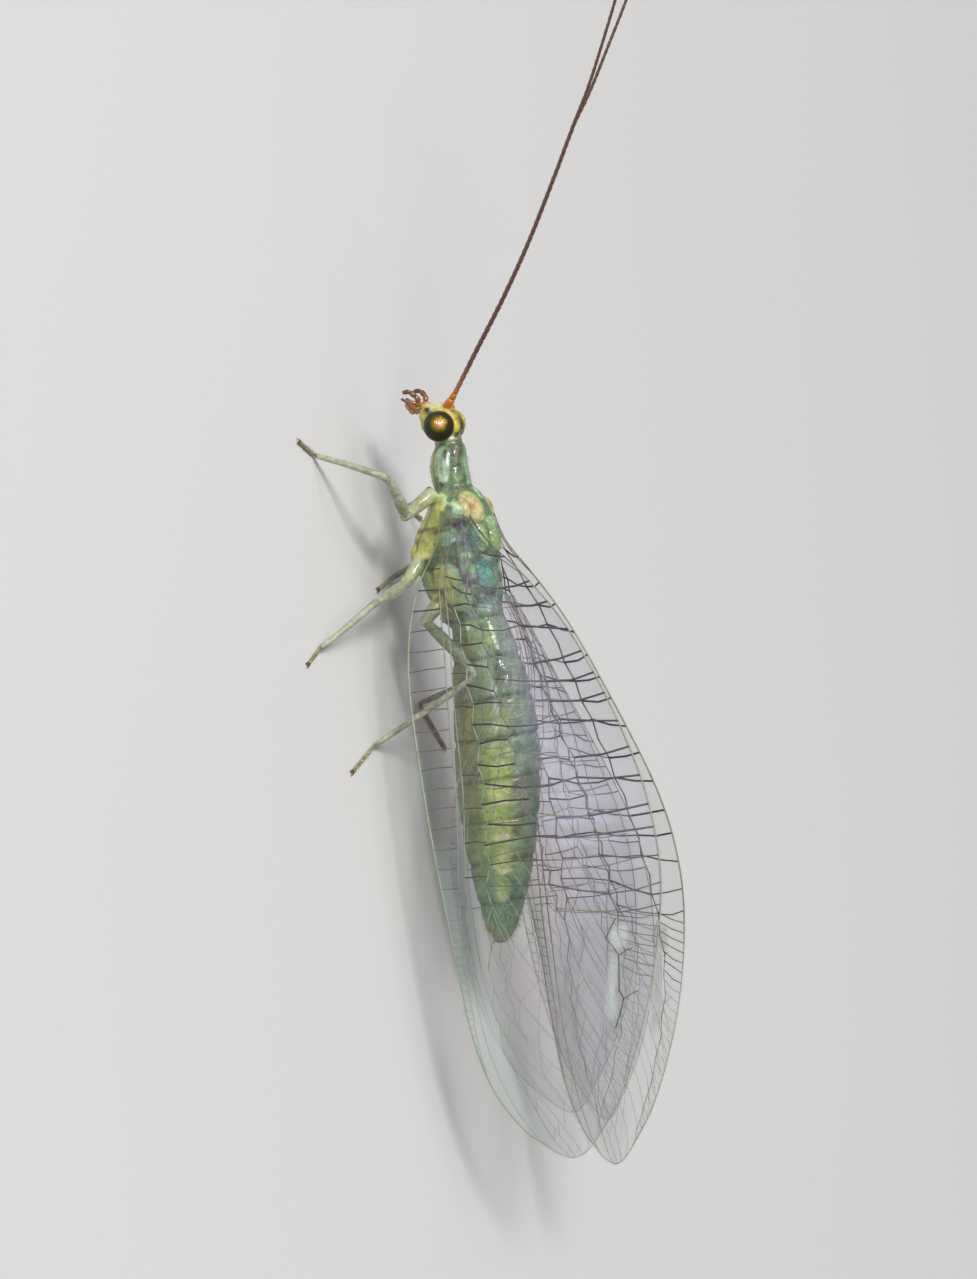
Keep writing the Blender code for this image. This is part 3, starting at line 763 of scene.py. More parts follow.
def vein_finish():
    """Pale green long veins that darken to brown-black at the cross veins."""
    finish = Finish("wing_vein", Roughness=0.38, Coat_Weight=0.25, Coat_Roughness=0.3)
    dark = finish.value_of("dark")
    mottle = finish.noise(3.0, 3.0)
    shade = (dark + (mottle - 0.5) * 0.35).within()
    colour = finish.ramp([(0.0, (0.28, 0.35, 0.24)), (0.1, (0.34, 0.42, 0.3)), (0.3, (0.17, 0.2, 0.11)),
                          (0.62, (0.07, 0.05, 0.035)), (1.0, (0.018, 0.011, 0.012))], shade)
    finish.put(Base_Color=colour, Alpha=(dark * 2.6 + 0.32).within())
    finish.bump(finish.noise(22.0), 0.006)
    return finish.material


def membrane_finish():
    """Clear, faintly violet skin: hazy beside its veins, pale and hazy where a milky sheen is painted on,
    glossy between them.
    """
    finish = Finish("wing_membrane", Roughness=0.3, IOR=1.4)
    rib, milk = finish.value_of("rib"), finish.value_of("milk")
    cloud = finish.noise(0.5, 3.0)
    film = (finish.noise(0.34, 2.0, 0.6) * 1.1 + finish.value_of("film") * 0.55).within()
    tint = finish.ramp([(0.25, (0.1, 0.07, 0.12)), (0.42, (0.13, 0.07, 0.19)), (0.52, (0.07, 0.12, 0.17)),
                        (0.63, (0.1, 0.14, 0.12)), (0.76, (0.17, 0.08, 0.13)), (0.9, (0.08, 0.07, 0.16))],
                       film)
    # painted sheen: pale colour, more haze and less metal where the skin is given a milky reflection
    finish.put(Base_Color=finish.blend((milk * 1.2 + rib * 0.1).within(), tint, (0.5, 0.56, 0.52)),
               Alpha=(0.05 + cloud * 0.04 + rib * 0.03 + milk * 0.3).within(0.0, 0.6),
               Metallic=(0.16 - milk * 0.16).within())
    finish.bump(finish.noise(9.0, 3.0), 0.012, 0.6)
    return finish.material


def side_of(points, side):
    """Points of the left side, or their mirror image on the right."""
    return np.asarray(points) * (side, 1.0, 1.0)


def on_wing(wing, side, t, v):
    """Points on the left wing of a pair, or the places that they take on the right."""
    return wing.place(t, v) * (side, RIGHT_REACH if side < 0 else 1.0, 1.0)


def make_veins(name, net, side, finish):
    """The vein net of one wing as round tubes on its skin."""
    points, edges, thick, dark = [], [], [], []
    for path, girth, shade in net.lines:
        start = len(thick)
        points.append(on_wing(net.wing, side, *path.T))
        edges += [(start + k, start + k + 1) for k in range(len(path) - 1)]
        thick += list(girth)
        dark += list(shade)
    points = np.vstack(points)
    lines = mesh_object(name, points, edges=edges, values={"thick": thick, "dark": dark})
    return grown(lines, name, VEIN_TREE, {"Sides": VEIN_SIDES, "Finish": finish}), points


def make_membrane(name, net, side, vein_points, size, finish, painted_sheen_spots):
    """The clear skin of one wing: a thin closed sheet that swells between the veins."""
    rows, columns = size
    t, v = np.meshgrid(np.linspace(0.0, 1.0, rows), np.linspace(0.0, 1.0, columns), indexing="ij")
    t, v = t.ravel(), v.ravel()
    middle = on_wing(net.wing, side, t, v)
    tree = KDTree(len(vein_points))
    for k, point in enumerate(vein_points):
        tree.insert(point, k)
    tree.balance()
    near = np.array([tree.find(p)[2] for p in middle])
    swell = PILLOW * (1.0 - bell(near, PILLOW_REACH))
    rib = bell(near, RIB_REACH)
    # painted sheen: a pale milky reflection laid on in the given spots
    milk = np.zeros(len(t))
    for spot_t, spot_v, reach_t, reach_v, strength in painted_sheen_spots:
        away = ((t - spot_t) / reach_t) ** 4 + ((v - spot_v) / reach_v) ** 4
        milk = np.maximum(milk, strength * np.exp(-away))
    outward = side_of(OUTWARD, side)
    top, bottom = (middle + outward * (swell + half)[:, None] for half in (HALF_MEMBRANE, -HALF_MEMBRANE))
    count = rows * columns
    # the rim runs once round the grid and joins the top to the bottom
    index = np.arange(count).reshape(rows, columns)
    rim = np.concatenate([index[:-1, 0], index[-1, :-1], index[:0:-1, -1], index[0, :0:-1]])
    after = np.roll(rim, -1)
    faces = np.vstack([grid_faces(rows, columns, flip=side > 0),
                       grid_faces(rows, columns, start=count, flip=side < 0),
                       np.stack([rim, after, after + count, rim + count], axis=1)])
    values = {"rib": rib, "milk": milk, "film": v}
    sheet = mesh_object(name, np.vstack([top, bottom]), faces, finish,
                        {title: np.tile(value, 2) for title, value in values.items()})
    facing_out(sheet.data)
    return sheet


# Places of painted sheen, a pale milky reflection, on each pair as (t, v, half length, half width, strength)
FORE_PAINTED_SHEEN = [(0.691, 0.8, 0.019, 0.05, 1.0), (0.765, 0.775, 0.06, 0.032, 0.9), (0.8, 0.8, 0.02, 0.03, 0.8),
             (0.87, 0.06, 0.14, 0.12, 0.9), (0.96, 0.3, 0.04, 0.3, 0.4), (0.64, 0.0, 0.14, 0.06, 0.5)]
HIND_PAINTED_SHEEN = [(0.72, 0.6, 0.03, 0.05, 0.3)]

VEIN_TREE = tube_tree()
BRISTLE_TREE = bristle_tree()
vein_look = vein_finish()
membrane_look = membrane_finish()
SIDES = {"left": 1.0, "right": -1.0}
NET_SEEDS = {"left": 11, "right": 23}
# Each pair: form, veins, points along and across the clear skin, places of painted sheen and weight of the
# net
PAIRS = {"forewing": (Wing(FORE_COSTA, FORE_HIND, 0.0), FORE_VEINS, (190, 64), FORE_PAINTED_SHEEN, 1.0),
         "hindwing": (Wing(HIND_COSTA, HIND_HIND, HINDWING_INSET), HIND_VEINS, (150, 48), HIND_PAINTED_SHEEN, 0.32)}
nets = {}
for side_name, side in SIDES.items():
    for pair, (wing, veins, size, milk, weight) in PAIRS.items():
        net = net_of(wing, veins, NET_SEEDS[side_name], weight, float(side > 0))
        nets[pair, side_name] = net
        vein_obj, vein_points = make_veins(f"{pair}_{side_name}_veins", net, side, vein_look)
        sheet = make_membrane(f"{pair}_{side_name}_membrane", net, side, vein_points, size,
                              membrane_look, milk)
        settle(vein_obj)
        settle(sheet, [f"{pair}_{side_name}"])


# ---- body: one skin over head, trunk and legs

PLATE_SHARE = 0.985  # the plates reach this share of the solid trunk
SEAM_SHARE = 0.905  # and the seams between them this one
PLATE_POWER = 2.6  # the higher, the squarer the plates
RING_SHARE = 0.955  # the front of each ring of the abdomen's back
SIDE_FOLD = 112.0  # degrees from the back's middle to the abdomen's side fold
BACK_EDGE = 96.0  # and to the edge of its back
RIPPLES = 3.0  # ripples on the side of each ring
NECK = (-1.28, -1.4)  # the trunk's paint turns into the head's from here to here
HIP_RISE = (1.12, 1.35)  # and into the hips' this far out, as shares of the trunk's size
RING_STEP = 0.035  # spacing of the trunk's rings of points
RING_SIDES = 144  # and the points of each
SKIN_VOXEL = 0.0288  # grain of the one skin
# Relief of the abdomen as depth and reach: the groove between two rings, the crease across each ring,
# and along the side the fold, a smaller fold above it and the ripples between the two
GROOVE, CREASE = (0.052, 0.06), (0.012, 0.07)
FOLD, UPPER_FOLD, RIPPLE = (0.05, 7.0), (0.022, 5.0), (0.012, 9.0)

# Plates of the thorax: distance along Y, degrees from the back's middle, half length, half width in degrees
PLATES = [(-1.0, 0, 0.28, 62), (-0.58, 0, 0.21, 66), (-0.86, 98, 0.4, 30), (-0.8, 168, 0.42, 36),
          (-0.16, 0, 0.16, 13), (0.1, 44, 0.37, 28), (0.5, 12, 0.16, 14), (0.84, 0, 0.3, 24),
          (0.78, 42, 0.3, 16), (0.15, 78, 0.27, 10), (0.1, 112, 0.42, 25), (0.62, 92, 0.22, 16),
          (0.72, 124, 0.36, 17), (0.2, 165, 0.5, 26), (0.95, 158, 0.3, 18), (1.5, 30, 0.34, 25),
          (1.25, 66, 0.24, 10), (1.98, 0, 0.24, 22), (1.5, 100, 0.32, 22), (1.95, 92, 0.3, 24),
          (1.6, 138, 0.36, 18), (2.15, 135, 0.26, 18), (2.28, 40, 0.16, 30), (1.7, 175, 0.5, 16)]

# Egg shapes that make the head and the roots of the wings: centre and radii on the left or in the middle
HEAD_SHAPES = [((0.0, -1.36, 2.28), (0.26, 0.17, 0.3)), ((0.0, -1.74, 2.24), (0.375, 0.34, 0.41)),
               ((0.13, -1.64, 2.49), (0.17, 0.2, 0.165)), ((0.0, -1.6, 2.5), (0.14, 0.2, 0.155)),
               ((0.0, -1.98, 2.18), (0.3, 0.2, 0.3)),
               ((0.25, -1.92, 2.0), (0.13, 0.22, 0.17)), ((0.0, -2.1, 1.95), (0.2, 0.13, 0.16)),
               ((0.0, -2.16, 1.79), (0.15, 0.09, 0.11)), ((0.15, -2.01, 2.4), (0.105, 0.1, 0.1)),
               ((0.0, -1.78, 1.9), (0.24, 0.24, 0.14)), ((0.36, -1.7, 2.3), (0.12, 0.3, 0.31))]
WING_ROOTS = [((0.6, 0.12, 2.54), (0.22, 0.26, 0.15)), ((0.55, 1.5, 2.5), (0.16, 0.2, 0.13)),
              ((0.66, 0.1, 2.46), (0.22, 0.17, 0.2)), ((0.8, 0.13, 2.42), (0.12, 0.2, 0.2)),
              ((0.7, 0.2, 2.62), (0.13, 0.26, 0.13))]

# Colours of the paint
GREEN, MINT = (0.2, 0.36, 0.15), (0.42, 0.68, 0.42)
YELLOW, LIME, CREAM = (0.43, 0.45, 0.12), (0.42, 0.56, 0.1), (0.46, 0.4, 0.16)
# painted highlight: near-white colour for flecks that stand in for glints of light on the thorax and the
# abdomen's side
PAINTED_GLINT = (0.82, 0.9, 0.88)
TEAL, DARK, RUST = (0.05, 0.28, 0.24), (0.01, 0.014, 0.007), (0.25, 0.1, 0.02)
AMBER, SEAM = (0.5, 0.15, 0.012), (0.1, 0.1, 0.02)
# Paint of the trunk, painted highlights among it: distance along Y, degrees, half length, half width in
# degrees, colour, strength
TRUNK_PAINT = [
    (1.0, 0, 3.0, 30, (0.12, 0.24, 0.15), 0.6), (6.2, 8, 3.8, 38, (0.1, 0.2, 0.1), 0.8),
    (-0.8, 4, 0.6, 14, (0.2, 0.36, 0.22), 0.8), (-0.82, 40, 0.6, 17, (0.06, 0.075, 0.045), 0.85),
    (-1.15, 26, 0.16, 20, (0.05, 0.04, 0.02), 0.8), (-1.22, 52, 0.09, 9, CREAM, 0.8),
    (-0.85, 92, 0.55, 26, (0.24, 0.38, 0.25), 0.85), (-0.4, 98, 0.32, 19, MINT, 0.95),
    (-0.78, 60, 0.4, 6, (0.1, 0.2, 0.1), 0.6), (-0.74, 40, 0.1, 18, (0.03, 0.035, 0.03), 0.75),
    (-1.08, 84, 0.13, 8, DARK, 1.0), (-1.09, 56, 0.16, 11, (0.03, 0.03, 0.025), 1.0),
    # painted highlights: the three pale thin lines at 73, 86 and 102 degrees in the two rows below are
    # glints along the pronotum's mint band
    (-0.92, 73, 0.13, 6, (0.75, 0.82, 0.75), 0.9), (-0.66, 86, 0.3, 5, (0.62, 0.75, 0.62), 0.7),
    (-0.74, 102, 0.2, 6, (0.5, 0.62, 0.5), 0.6), (-0.59, 116, 0.05, 8, DARK, 1.0),
    (-0.1, 99, 0.35, 11, MINT, 0.8), (-1.0, 132, 0.5, 22, YELLOW, 0.7), (0.14, 112, 0.5, 22, YELLOW, 1.0),
    (0.9, 160, 0.9, 22, LIME, 0.7), (0.62, 150, 0.75, 30, YELLOW, 1.0), (0.72, 124, 0.42, 22, YELLOW, 1.0),
    # painted highlight: the pale whitish-mint patch at 0.66 along Y and 68 degrees in the row below
    (1.48, 112, 0.42, 24, YELLOW, 1.0), (0.66, 68, 0.16, 8, (0.55, 0.66, 0.55), 0.9),
    (1.95, 124, 0.36, 24, YELLOW, 1.0), (1.72, 118, 0.05, 24, SEAM, 0.8),
    (0.1, 47, 0.38, 29, CREAM, 1.0), (0.1, 47, 0.09, 9, RUST, 0.8),
    (-0.2, 13, 0.24, 8, MINT, 0.9), (0.4, 8, 0.24, 7, MINT, 0.8),
    (0.84, 20, 0.3, 22, (0.2, 0.3, 0.09), 0.8),
    (0.79, 58, 0.22, 14, TEAL, 0.85), (1.46, 41, 0.3, 17, TEAL, 0.9), (2.05, 39, 0.25, 22, TEAL, 0.85),
    (0.74, 82, 0.14, 10, TEAL, 0.7), (1.2, 60, 0.08, 24, DARK, 0.5), (-0.19, 123, 0.07, 8, DARK, 1.0),
    (-0.11, 85, 0.07, 8, DARK, 1.0), (0.12, 80, 0.3, 12, MINT, 0.7), (0.06, 84, 0.07, 7, DARK, 1.0),
    (-0.46, 104, 0.06, 7, DARK, 0.9), (-0.5, 24, 0.14, 9, DARK, 0.6), (-0.36, 60, 0.05, 40, DARK, 0.4),
    (0.9, 86, 0.7, 7, (0.3, 0.55, 0.38), 0.6),
    (0.42, 72, 0.06, 14, SEAM, 0.9), (0.5, 100, 0.05, 18, SEAM, 0.9), (1.05, 120, 0.05, 26, SEAM, 0.8),
    (0.42, 150, 0.05, 22, SEAM, 0.9), (-0.12, 140, 0.05, 26, SEAM, 0.8), (1.02, 155, 0.05, 22, SEAM, 0.8),
    (1.5, 124, 0.3, 4, SEAM, 0.7), (0.42, 118, 0.04, 24, SEAM, 0.8),
    (6.1, 78, 2.0, 28, (0.36, 0.55, 0.1), 1.0), (3.7, 92, 1.3, 28, (0.22, 0.3, 0.15), 0.8),
    (3.9, 118, 1.4, 16, (0.19, 0.2, 0.08), 0.8), (2.95, 72, 0.3, 18, (0.26, 0.44, 0.16), 0.7),
    (5.6, 118, 3.0, 16, (0.16, 0.17, 0.05), 0.85), (3.55, 52, 0.35, 16, (0.05, 0.06, 0.02), 0.7),
    (8.4, 80, 0.7, 60, (0.14, 0.29, 0.13), 0.85), (8.2, 55, 0.35, 26, (0.04, 0.16, 0.13), 0.8),
    (5.5, 160, 3.4, 26, (0.16, 0.22, 0.07), 0.8), (9.12, 90, 0.16, 90, CREAM, 0.6),
    (6.0, 50, 0.16, 9, SEAM, 0.8), (6.9, 46, 0.14, 9, SEAM, 0.8), (6.5, 38, 0.3, 8, SEAM, 0.6),
    # painted highlights: small glints on the thorax and on the side of the abdomen
    (0.54, 67, 0.06, 5, PAINTED_GLINT, 0.9), (0.73, 76, 0.05, 5, PAINTED_GLINT, 0.8), (1.55, 65, 0.06, 5, PAINTED_GLINT, 1.0),
    (1.72, 63, 0.04, 4, PAINTED_GLINT, 0.8), (1.97, 51, 0.06, 5, PAINTED_GLINT, 0.9), (2.11, 22, 0.06, 7, PAINTED_GLINT, 0.9),
    (2.27, 44, 0.07, 5, PAINTED_GLINT, 0.9), (2.57, 101, 0.07, 4, PAINTED_GLINT, 0.9), (2.3, 84, 0.05, 4, PAINTED_GLINT, 0.7),
    (3.96, 70, 0.16, 4, PAINTED_GLINT, 0.8), (4.3, 72, 0.12, 4, PAINTED_GLINT, 0.8), (4.7, 75, 0.12, 4, PAINTED_GLINT, 0.75),
    (5.08, 80, 0.06, 4, PAINTED_GLINT, 0.7),
]
# Bright patches on the side of the abdomen's rings, each with a painted highlight near its back edge:
# distance along Y and strength
LIME_PATCHES = [(4.55, 0.2), (5.3, 0.7), (6.05, 1.0), (6.8, 1.0), (7.5, 0.9), (8.1, 0.6)]
# Paint of the head: centre, reach and colour, on the left or in the middle
HEAD_PAINT = [((0.0, -1.7, 2.62), (0.6, 0.5, 0.3), (0.5, 0.42, 0.03)),
              ((0.0, -1.62, 2.7), (0.15, 0.34, 0.22), (0.035, 0.012, 0.002)),
              ((0.0, -2.15, 2.2), (0.3, 0.16, 0.24), (0.7, 0.66, 0.4)),
              ((0.0, -2.2, 1.9), (0.3, 0.16, 0.16), (0.5, 0.32, 0.06)),
              ((0.3, -2.0, 1.98), (0.14, 0.16, 0.12), (0.5, 0.38, 0.02)),
              ((0.0, -2.28, 1.86), (0.3, 0.12, 0.14), (0.42, 0.16, 0.02)),
              ((0.345, -2.05, 2.055), (0.065, 0.065, 0.075), DARK),
              ((0.37, -1.985, 2.11), (0.07, 0.07, 0.08), DARK),
              ((0.15, -2.05, 2.46), (0.12, 0.1, 0.09), AMBER),
              ((0.22, -2.16, 1.84), (0.06, 0.07, 0.06), DARK),
              ((0.22, -1.86, 2.5), (0.05, 0.07, 0.06), (0.6, 0.55, 0.42)),
              ((0.12, -1.92, 2.54), (0.06, 0.07, 0.06), RUST),
              ((0.0, -1.41, 2.3), (0.5, 0.11, 0.6), (0.17, 0.24, 0.12)),
              ((0.12, -1.42, 2.54), (0.05, 0.14, 0.12), (0.04, 0.045, 0.02)),
              ((0.22, -1.4, 2.44), (0.035, 0.12, 0.08), (0.5, 0.52, 0.35)),
              ((0.3, -1.38, 2.3), (0.08, 0.1, 0.06), (0.03, 0.035, 0.02))]
# Dark spots and mottles at the root of the front legs: centre, reach and colour, on the left
HIP_PAINT = [((0.62, -0.2, 1.72), (0.2, 0.12, 0.12), (0.2, 0.17, 0.05)),
             ((0.5, -0.46, 1.87), (0.12, 0.04, 0.06), DARK),
             ((0.52, -0.25, 1.9), (0.12, 0.05, 0.05), DARK)]

LEG_COAT = (0.32, 0.36, 0.25)
HIND_FEMUR_COAT = (0.15, 0.215, 0.1)
TARSUS_COAT = (0.25, 0.24, 0.12)
FEMUR_GIRTH = [(0.0, 0.085), (0.25, 0.125), (0.6, 0.12), (0.9, 0.09), (1.0, 0.078)]
TIBIA_GIRTH = [(0.0, 0.074), (0.15, 0.074), (0.5, 0.066), (0.95, 0.058), (1.0, 0.045)]
KNEE_REACH, KNEE_GIRTH = 0.16, 0.08  # the leg turns this far round its knee, with this radius
TARSUS_SHARES = [0.34, 0.16, 0.13, 0.12, 0.25]
TARSUS_GIRTH = (0.034, 0.046)
TARSUS_GAP = 0.02  # share of a foot part that is left free at each of its ends
FOOT_LINE = 0.048  # height of a foot's middle line over the floor
LEG_SIDES = 14
TARSUS_SIDES = 12
HIP_GIRTH, HIP_SIDES = (0.18, 0.12), 20
TROCHANTER_RADIUS = 0.115


def dome(along, across):
    """Height of a plate, 1 in its middle and 0 at its rim."""
    return np.clip(1.0 - np.abs(along) ** PLATE_POWER - np.abs(across) ** PLATE_POWER, 0.0, 1.0) ** 0.45


def ring_of(y):
    """Which segment of the abdomen a place is in, with its share of the way along it."""
    return (y - ABDOMEN_FRONT) / (ABDOMEN_BACK - ABDOMEN_FRONT) * ABDOMEN_SEGMENTS


def trunk_share(y, degrees):
    """How near the skin comes to the solid trunk: plates, seams, rings and side folds."""
    plates = np.zeros(y.shape)
    for place, turn, length, width in PLATES:
        plates = np.maximum(plates, dome((y - place) / length, (degrees - turn) / width))
    thorax = SEAM_SHARE + (PLATE_SHARE - SEAM_SHARE) * plates
    ring = ring_of(y)
    within = ring - np.floor(ring)
    edge = np.minimum(within, 1.0 - within)
    back = smooth_step(118.0, BACK_EDGE, degrees)
    abdomen = (RING_SHARE + 0.03 * within * back + 0.016 * (1.0 - back)
               - GROOVE[0] * bell(edge, GROOVE[1]) - CREASE[0] * bell(within - 0.5, CREASE[1]) * back
               - FOLD[0] * bell(degrees - SIDE_FOLD, FOLD[1])
               - UPPER_FOLD[0] * bell(degrees - BACK_EDGE, UPPER_FOLD[1])
               + RIPPLE[0] * np.sin(ring * 2.0 * math.pi * RIPPLES)
               * bell(degrees - (SIDE_FOLD + BACK_EDGE) / 2.0, RIPPLE[1]))
    share = smooth_step(ABDOMEN_FRONT - 0.12, ABDOMEN_FRONT + 0.08, y)
    return np.minimum(thorax * (1.0 - share) + abdomen * share, PLATE_SHARE)


trunk_at = curve_through(TRUNK)


def on_trunk(y, turn, sunk=0.0):
    """Points of the trunk's skin at distances along Y and degrees from the back's middle."""
    centre, wide, high = trunk_at(y).T
    share = trunk_share(y, np.minimum(turn, 360.0 - turn)) - sunk
    angle = np.radians(turn)
    return np.stack([wide * share * np.sin(angle), y, centre + high * share * np.cos(angle)], axis=1)


def trunk_shell():
    """Points and faces of the trunk, as closed rings round its middle line."""
    y = np.append(np.arange(TRUNK[0][0], TRUNK[-1][0], RING_STEP), TRUNK[-1][0])
    ring_y, turn = np.meshgrid(y, np.arange(RING_SIDES) * 360.0 / RING_SIDES, indexing="ij")
    ends = ((0.0, y[0] - 0.02, TRUNK[0][1]), (0.0, y[-1] + 0.01, TRUNK[-1][1]))
    return with_caps(on_trunk(ring_y.ravel(), turn.ravel()), len(y), RING_SIDES, ends)


def leg_line(title):
    """The joints of a leg as points of the insect, with its side."""
    side = 1.0 if title.endswith("left") else -1.0
    hip, trochanter, knee, ankle, claw = LEG_JOINTS[title]
    joints = [hip, trochanter, knee, (*ankle, FOOT_LINE + 0.02), (*claw, FOOT_LINE)]
    return side_of(joints, side), side


def bent(start, end, sag, count=22):
    """Points from start to end, bowed by sag."""
    share = np.linspace(0.0, 1.0, count)
    path = np.outer(1.0 - share, start) + np.outer(share, end)
    return path + np.outer(4.0 * share * (1.0 - share), sag), share


def leg_axis(trochanter, knee, ankle):
    """Middle line of femur and tibia with its rounded knee, and the radii along it."""
    before, after = (knee + (end - knee) * KNEE_REACH / np.linalg.norm(end - knee)
                     for end in (trochanter, ankle))
    upper, upper_share = bent(trochanter, before, (0.0, 0.0, 0.03))
    lower, lower_share = bent(after, ankle, (0.0, 0.0, 0.025))
    turn = np.linspace(0.0, 1.0, 7)[1:-1, None]
    corner = before * (1.0 - turn) ** 2 + knee * 2.0 * turn * (1.0 - turn) + after * turn ** 2
    girth = np.concatenate([curve_through(FEMUR_GIRTH)(upper_share)[:, 0], np.full(len(turn), KNEE_GIRTH),
                            curve_through(TIBIA_GIRTH)(lower_share)[:, 0]])
    return np.vstack([upper, corner, lower]), girth


def leg_tubes(title):
    """Femur and tibia as one tube and the five parts of the foot: points, faces and colour of each."""
    trochanter, knee, ankle, claw = leg_line(title)[0][1:]
    points, faces = tube(*leg_axis(trochanter, knee, ankle), LEG_SIDES)
    coat = np.tile(LEG_COAT, (len(points), 1))
    if title.startswith("hind"):
        coat = paint_over(coat, smooth_step(knee[1] - 0.1, knee[1] - 0.5, points[:, 1]), HIND_FEMUR_COAT)
    tubes = [(points, faces, coat)]
    start = 0.0
    share = np.linspace(0.0, 1.0, 9)
    for length in TARSUS_SHARES:
        along = start + length * between((TARSUS_GAP, 1.0 - TARSUS_GAP), share)
        place = ankle + np.outer(along, claw - ankle)
        girth = between(TARSUS_GIRTH, share ** 1.5)
        girth[0] *= 0.75
        girth[-1] *= 0.8
        points, faces = tube(place, girth, TARSUS_SIDES)
        tubes.append((points, faces, np.tile(TARSUS_COAT, (len(points), 1))))
        start += length
    return tubes


def paint_over(colour, share, shade):
    """Colours with a share of another one laid over each."""
    return colour * (1.0 - share[:, None]) + np.array(shade) * share[:, None]


def spot_share(spot, reach, points):
    """1 in the middle of an egg-shaped spot, dying away at its rim."""
    away = ((points - np.array(spot)) / np.array(reach)) ** 2
    return np.exp(-np.sum(away, axis=1) ** 1.5)


def skin_paint(points):
    """Colours of the head and trunk at their points, painted highlights and painted shade among them, from
    the lowest layer of paint to the highest.
    """
    points = points * 1.0
    points[:, 0] = np.abs(points[:, 0])
    x, y, z = points.T
    centre, wide, high = trunk_at(y).T
    degrees = np.degrees(np.arctan2(x / wide, (z - centre) / high))

    def patch(place, turn, length, width, power):
        """1 in the middle of a patch of the trunk; a higher power gives it a harder rim."""
        q = ((y - place) / length) ** 2 + ((degrees - turn) / width) ** 2
        return np.exp(-q ** power)

    on_head = smooth_step(*NECK, y)
    on_abdomen = smooth_step(ABDOMEN_FRONT - 0.05, ABDOMEN_FRONT + 0.05, y)
    ring = ring_of(y)
    edge = np.abs(ring - np.round(ring))
    half = np.abs(ring + 0.5 - np.round(ring + 0.5))
    # painted shade: 1 at the bottom of a seam between the thorax's plates and 0 on the plates' upper half
    painted_seam_shade = np.clip((RING_SHARE - trunk_share(y, degrees)) / (RING_SHARE - SEAM_SHARE), 0.0, 1.0)
    away = np.hypot(x / wide, (z - centre) / high)
    hips = smooth_step(*HIP_RISE, away) * smooth_step(centre + 0.25, centre - 0.1, z) * (1.0 - on_head)
    layers = [(strength * patch(place, turn, length, width, 1.6) * (1.0 - on_head), shade)
              for place, turn, length, width, shade, strength in TRUNK_PAINT]
    layers.append((0.8 * bell(edge, 0.05) * on_abdomen, (0.08, 0.12, 0.035)))
    for place, strength in LIME_PATCHES:
        layers += [(strength * patch(place, 72.0, 0.27, 17.0, 2), (0.56, 0.7, 0.22)),
                   # painted highlight: a pale strip near the back edge of each patch
                   (0.8 * strength * patch(place + 0.22, 70.0, 0.06, 14.0, 2), (0.78, 0.86, 0.5))]
    layers += [(0.25 * bell(half, 0.035) * on_abdomen, (0.16, 0.24, 0.08)),
               (0.5 * bell(degrees - SIDE_FOLD, 6.0) * on_abdomen, (0.22, 0.28, 0.08)),
               # painted shade: the thorax grows darker the deeper its skin sinks into the seams between its
               # plates
               (0.75 * painted_seam_shade * (1.0 - on_head) * (1.0 - on_abdomen), (0.05, 0.08, 0.03)),
               (on_head * 0.9, (0.36, 0.38, 0.07))]
    layers += [(on_head * spot_share(spot, reach, points), shade) for spot, reach, shade in HEAD_PAINT]
    layers.append((hips, (0.33, 0.38, 0.22)))
    layers += [(spot_share(spot, reach, points), shade) for spot, reach, shade in HIP_PAINT]
    colour = np.tile(GREEN, (len(points), 1))
    for share, shade in layers:
        colour = paint_over(colour, share, shade)
    return colour


def skin_finish():
    """Soft, slightly shiny cuticle with the paint of the body mottled over it."""
    finish = Finish("body_skin", Specular_IOR_Level=0.55, Coat_Weight=0.45, Coat_Roughness=0.1,
                    Subsurface_Weight=0.08, Subsurface_Scale=0.35 * MM, Subsurface_Radius=(0.8, 1.0, 0.35))
    paint = finish.value_of("paint", "Color")
    mottle = finish.noise(3.4, 4.0, 0.6)
    fine = finish.noise(16.0, 3.0)
    darker = finish.blend(1.0, paint, (0.57, 0.59, 0.55), "MULTIPLY")
    lighter = finish.blend(1.0, paint, (1.52, 1.4, 1.42), "MULTIPLY")
    share = ((mottle - 0.5) * 2.2 + (fine - 0.5) * 0.9 + 0.5).within()
    finish.put(Base_Color=finish.blend(share, darker, lighter),
               Roughness=(0.24 + fine * 0.2).within(0.2, 0.6))
    pits = finish.cells(26.0, "DISTANCE_TO_EDGE")
    lumps = finish.cells(8.0)
    finish.bump((pits * 2.2).within() * 0.35 + fine * 0.6 + lumps * 1.3, 0.024, 0.8)
    return finish.material


def joined_shells(name, shells, finish=None, values=None):
    """One mesh from several closed shells of points and faces."""
    points, faces, start = [], [], 0
    for shell_points, shell_faces in shells:
        points.append(shell_points)
        faces += [tuple(i + start for i in face) for face in shell_faces]
        start += len(shell_points)
    obj = mesh_object(name, np.vstack(points), faces, finish, values)
    facing_out(obj.data)
    return obj


def both_sides(shapes):
    """Egg shapes of the left or the middle, with the mirror images of those on the left."""
    for centre, radii in shapes:
        for side in SIDES.values() if centre[0] else (1.0,):
            yield side_of(centre, side), radii


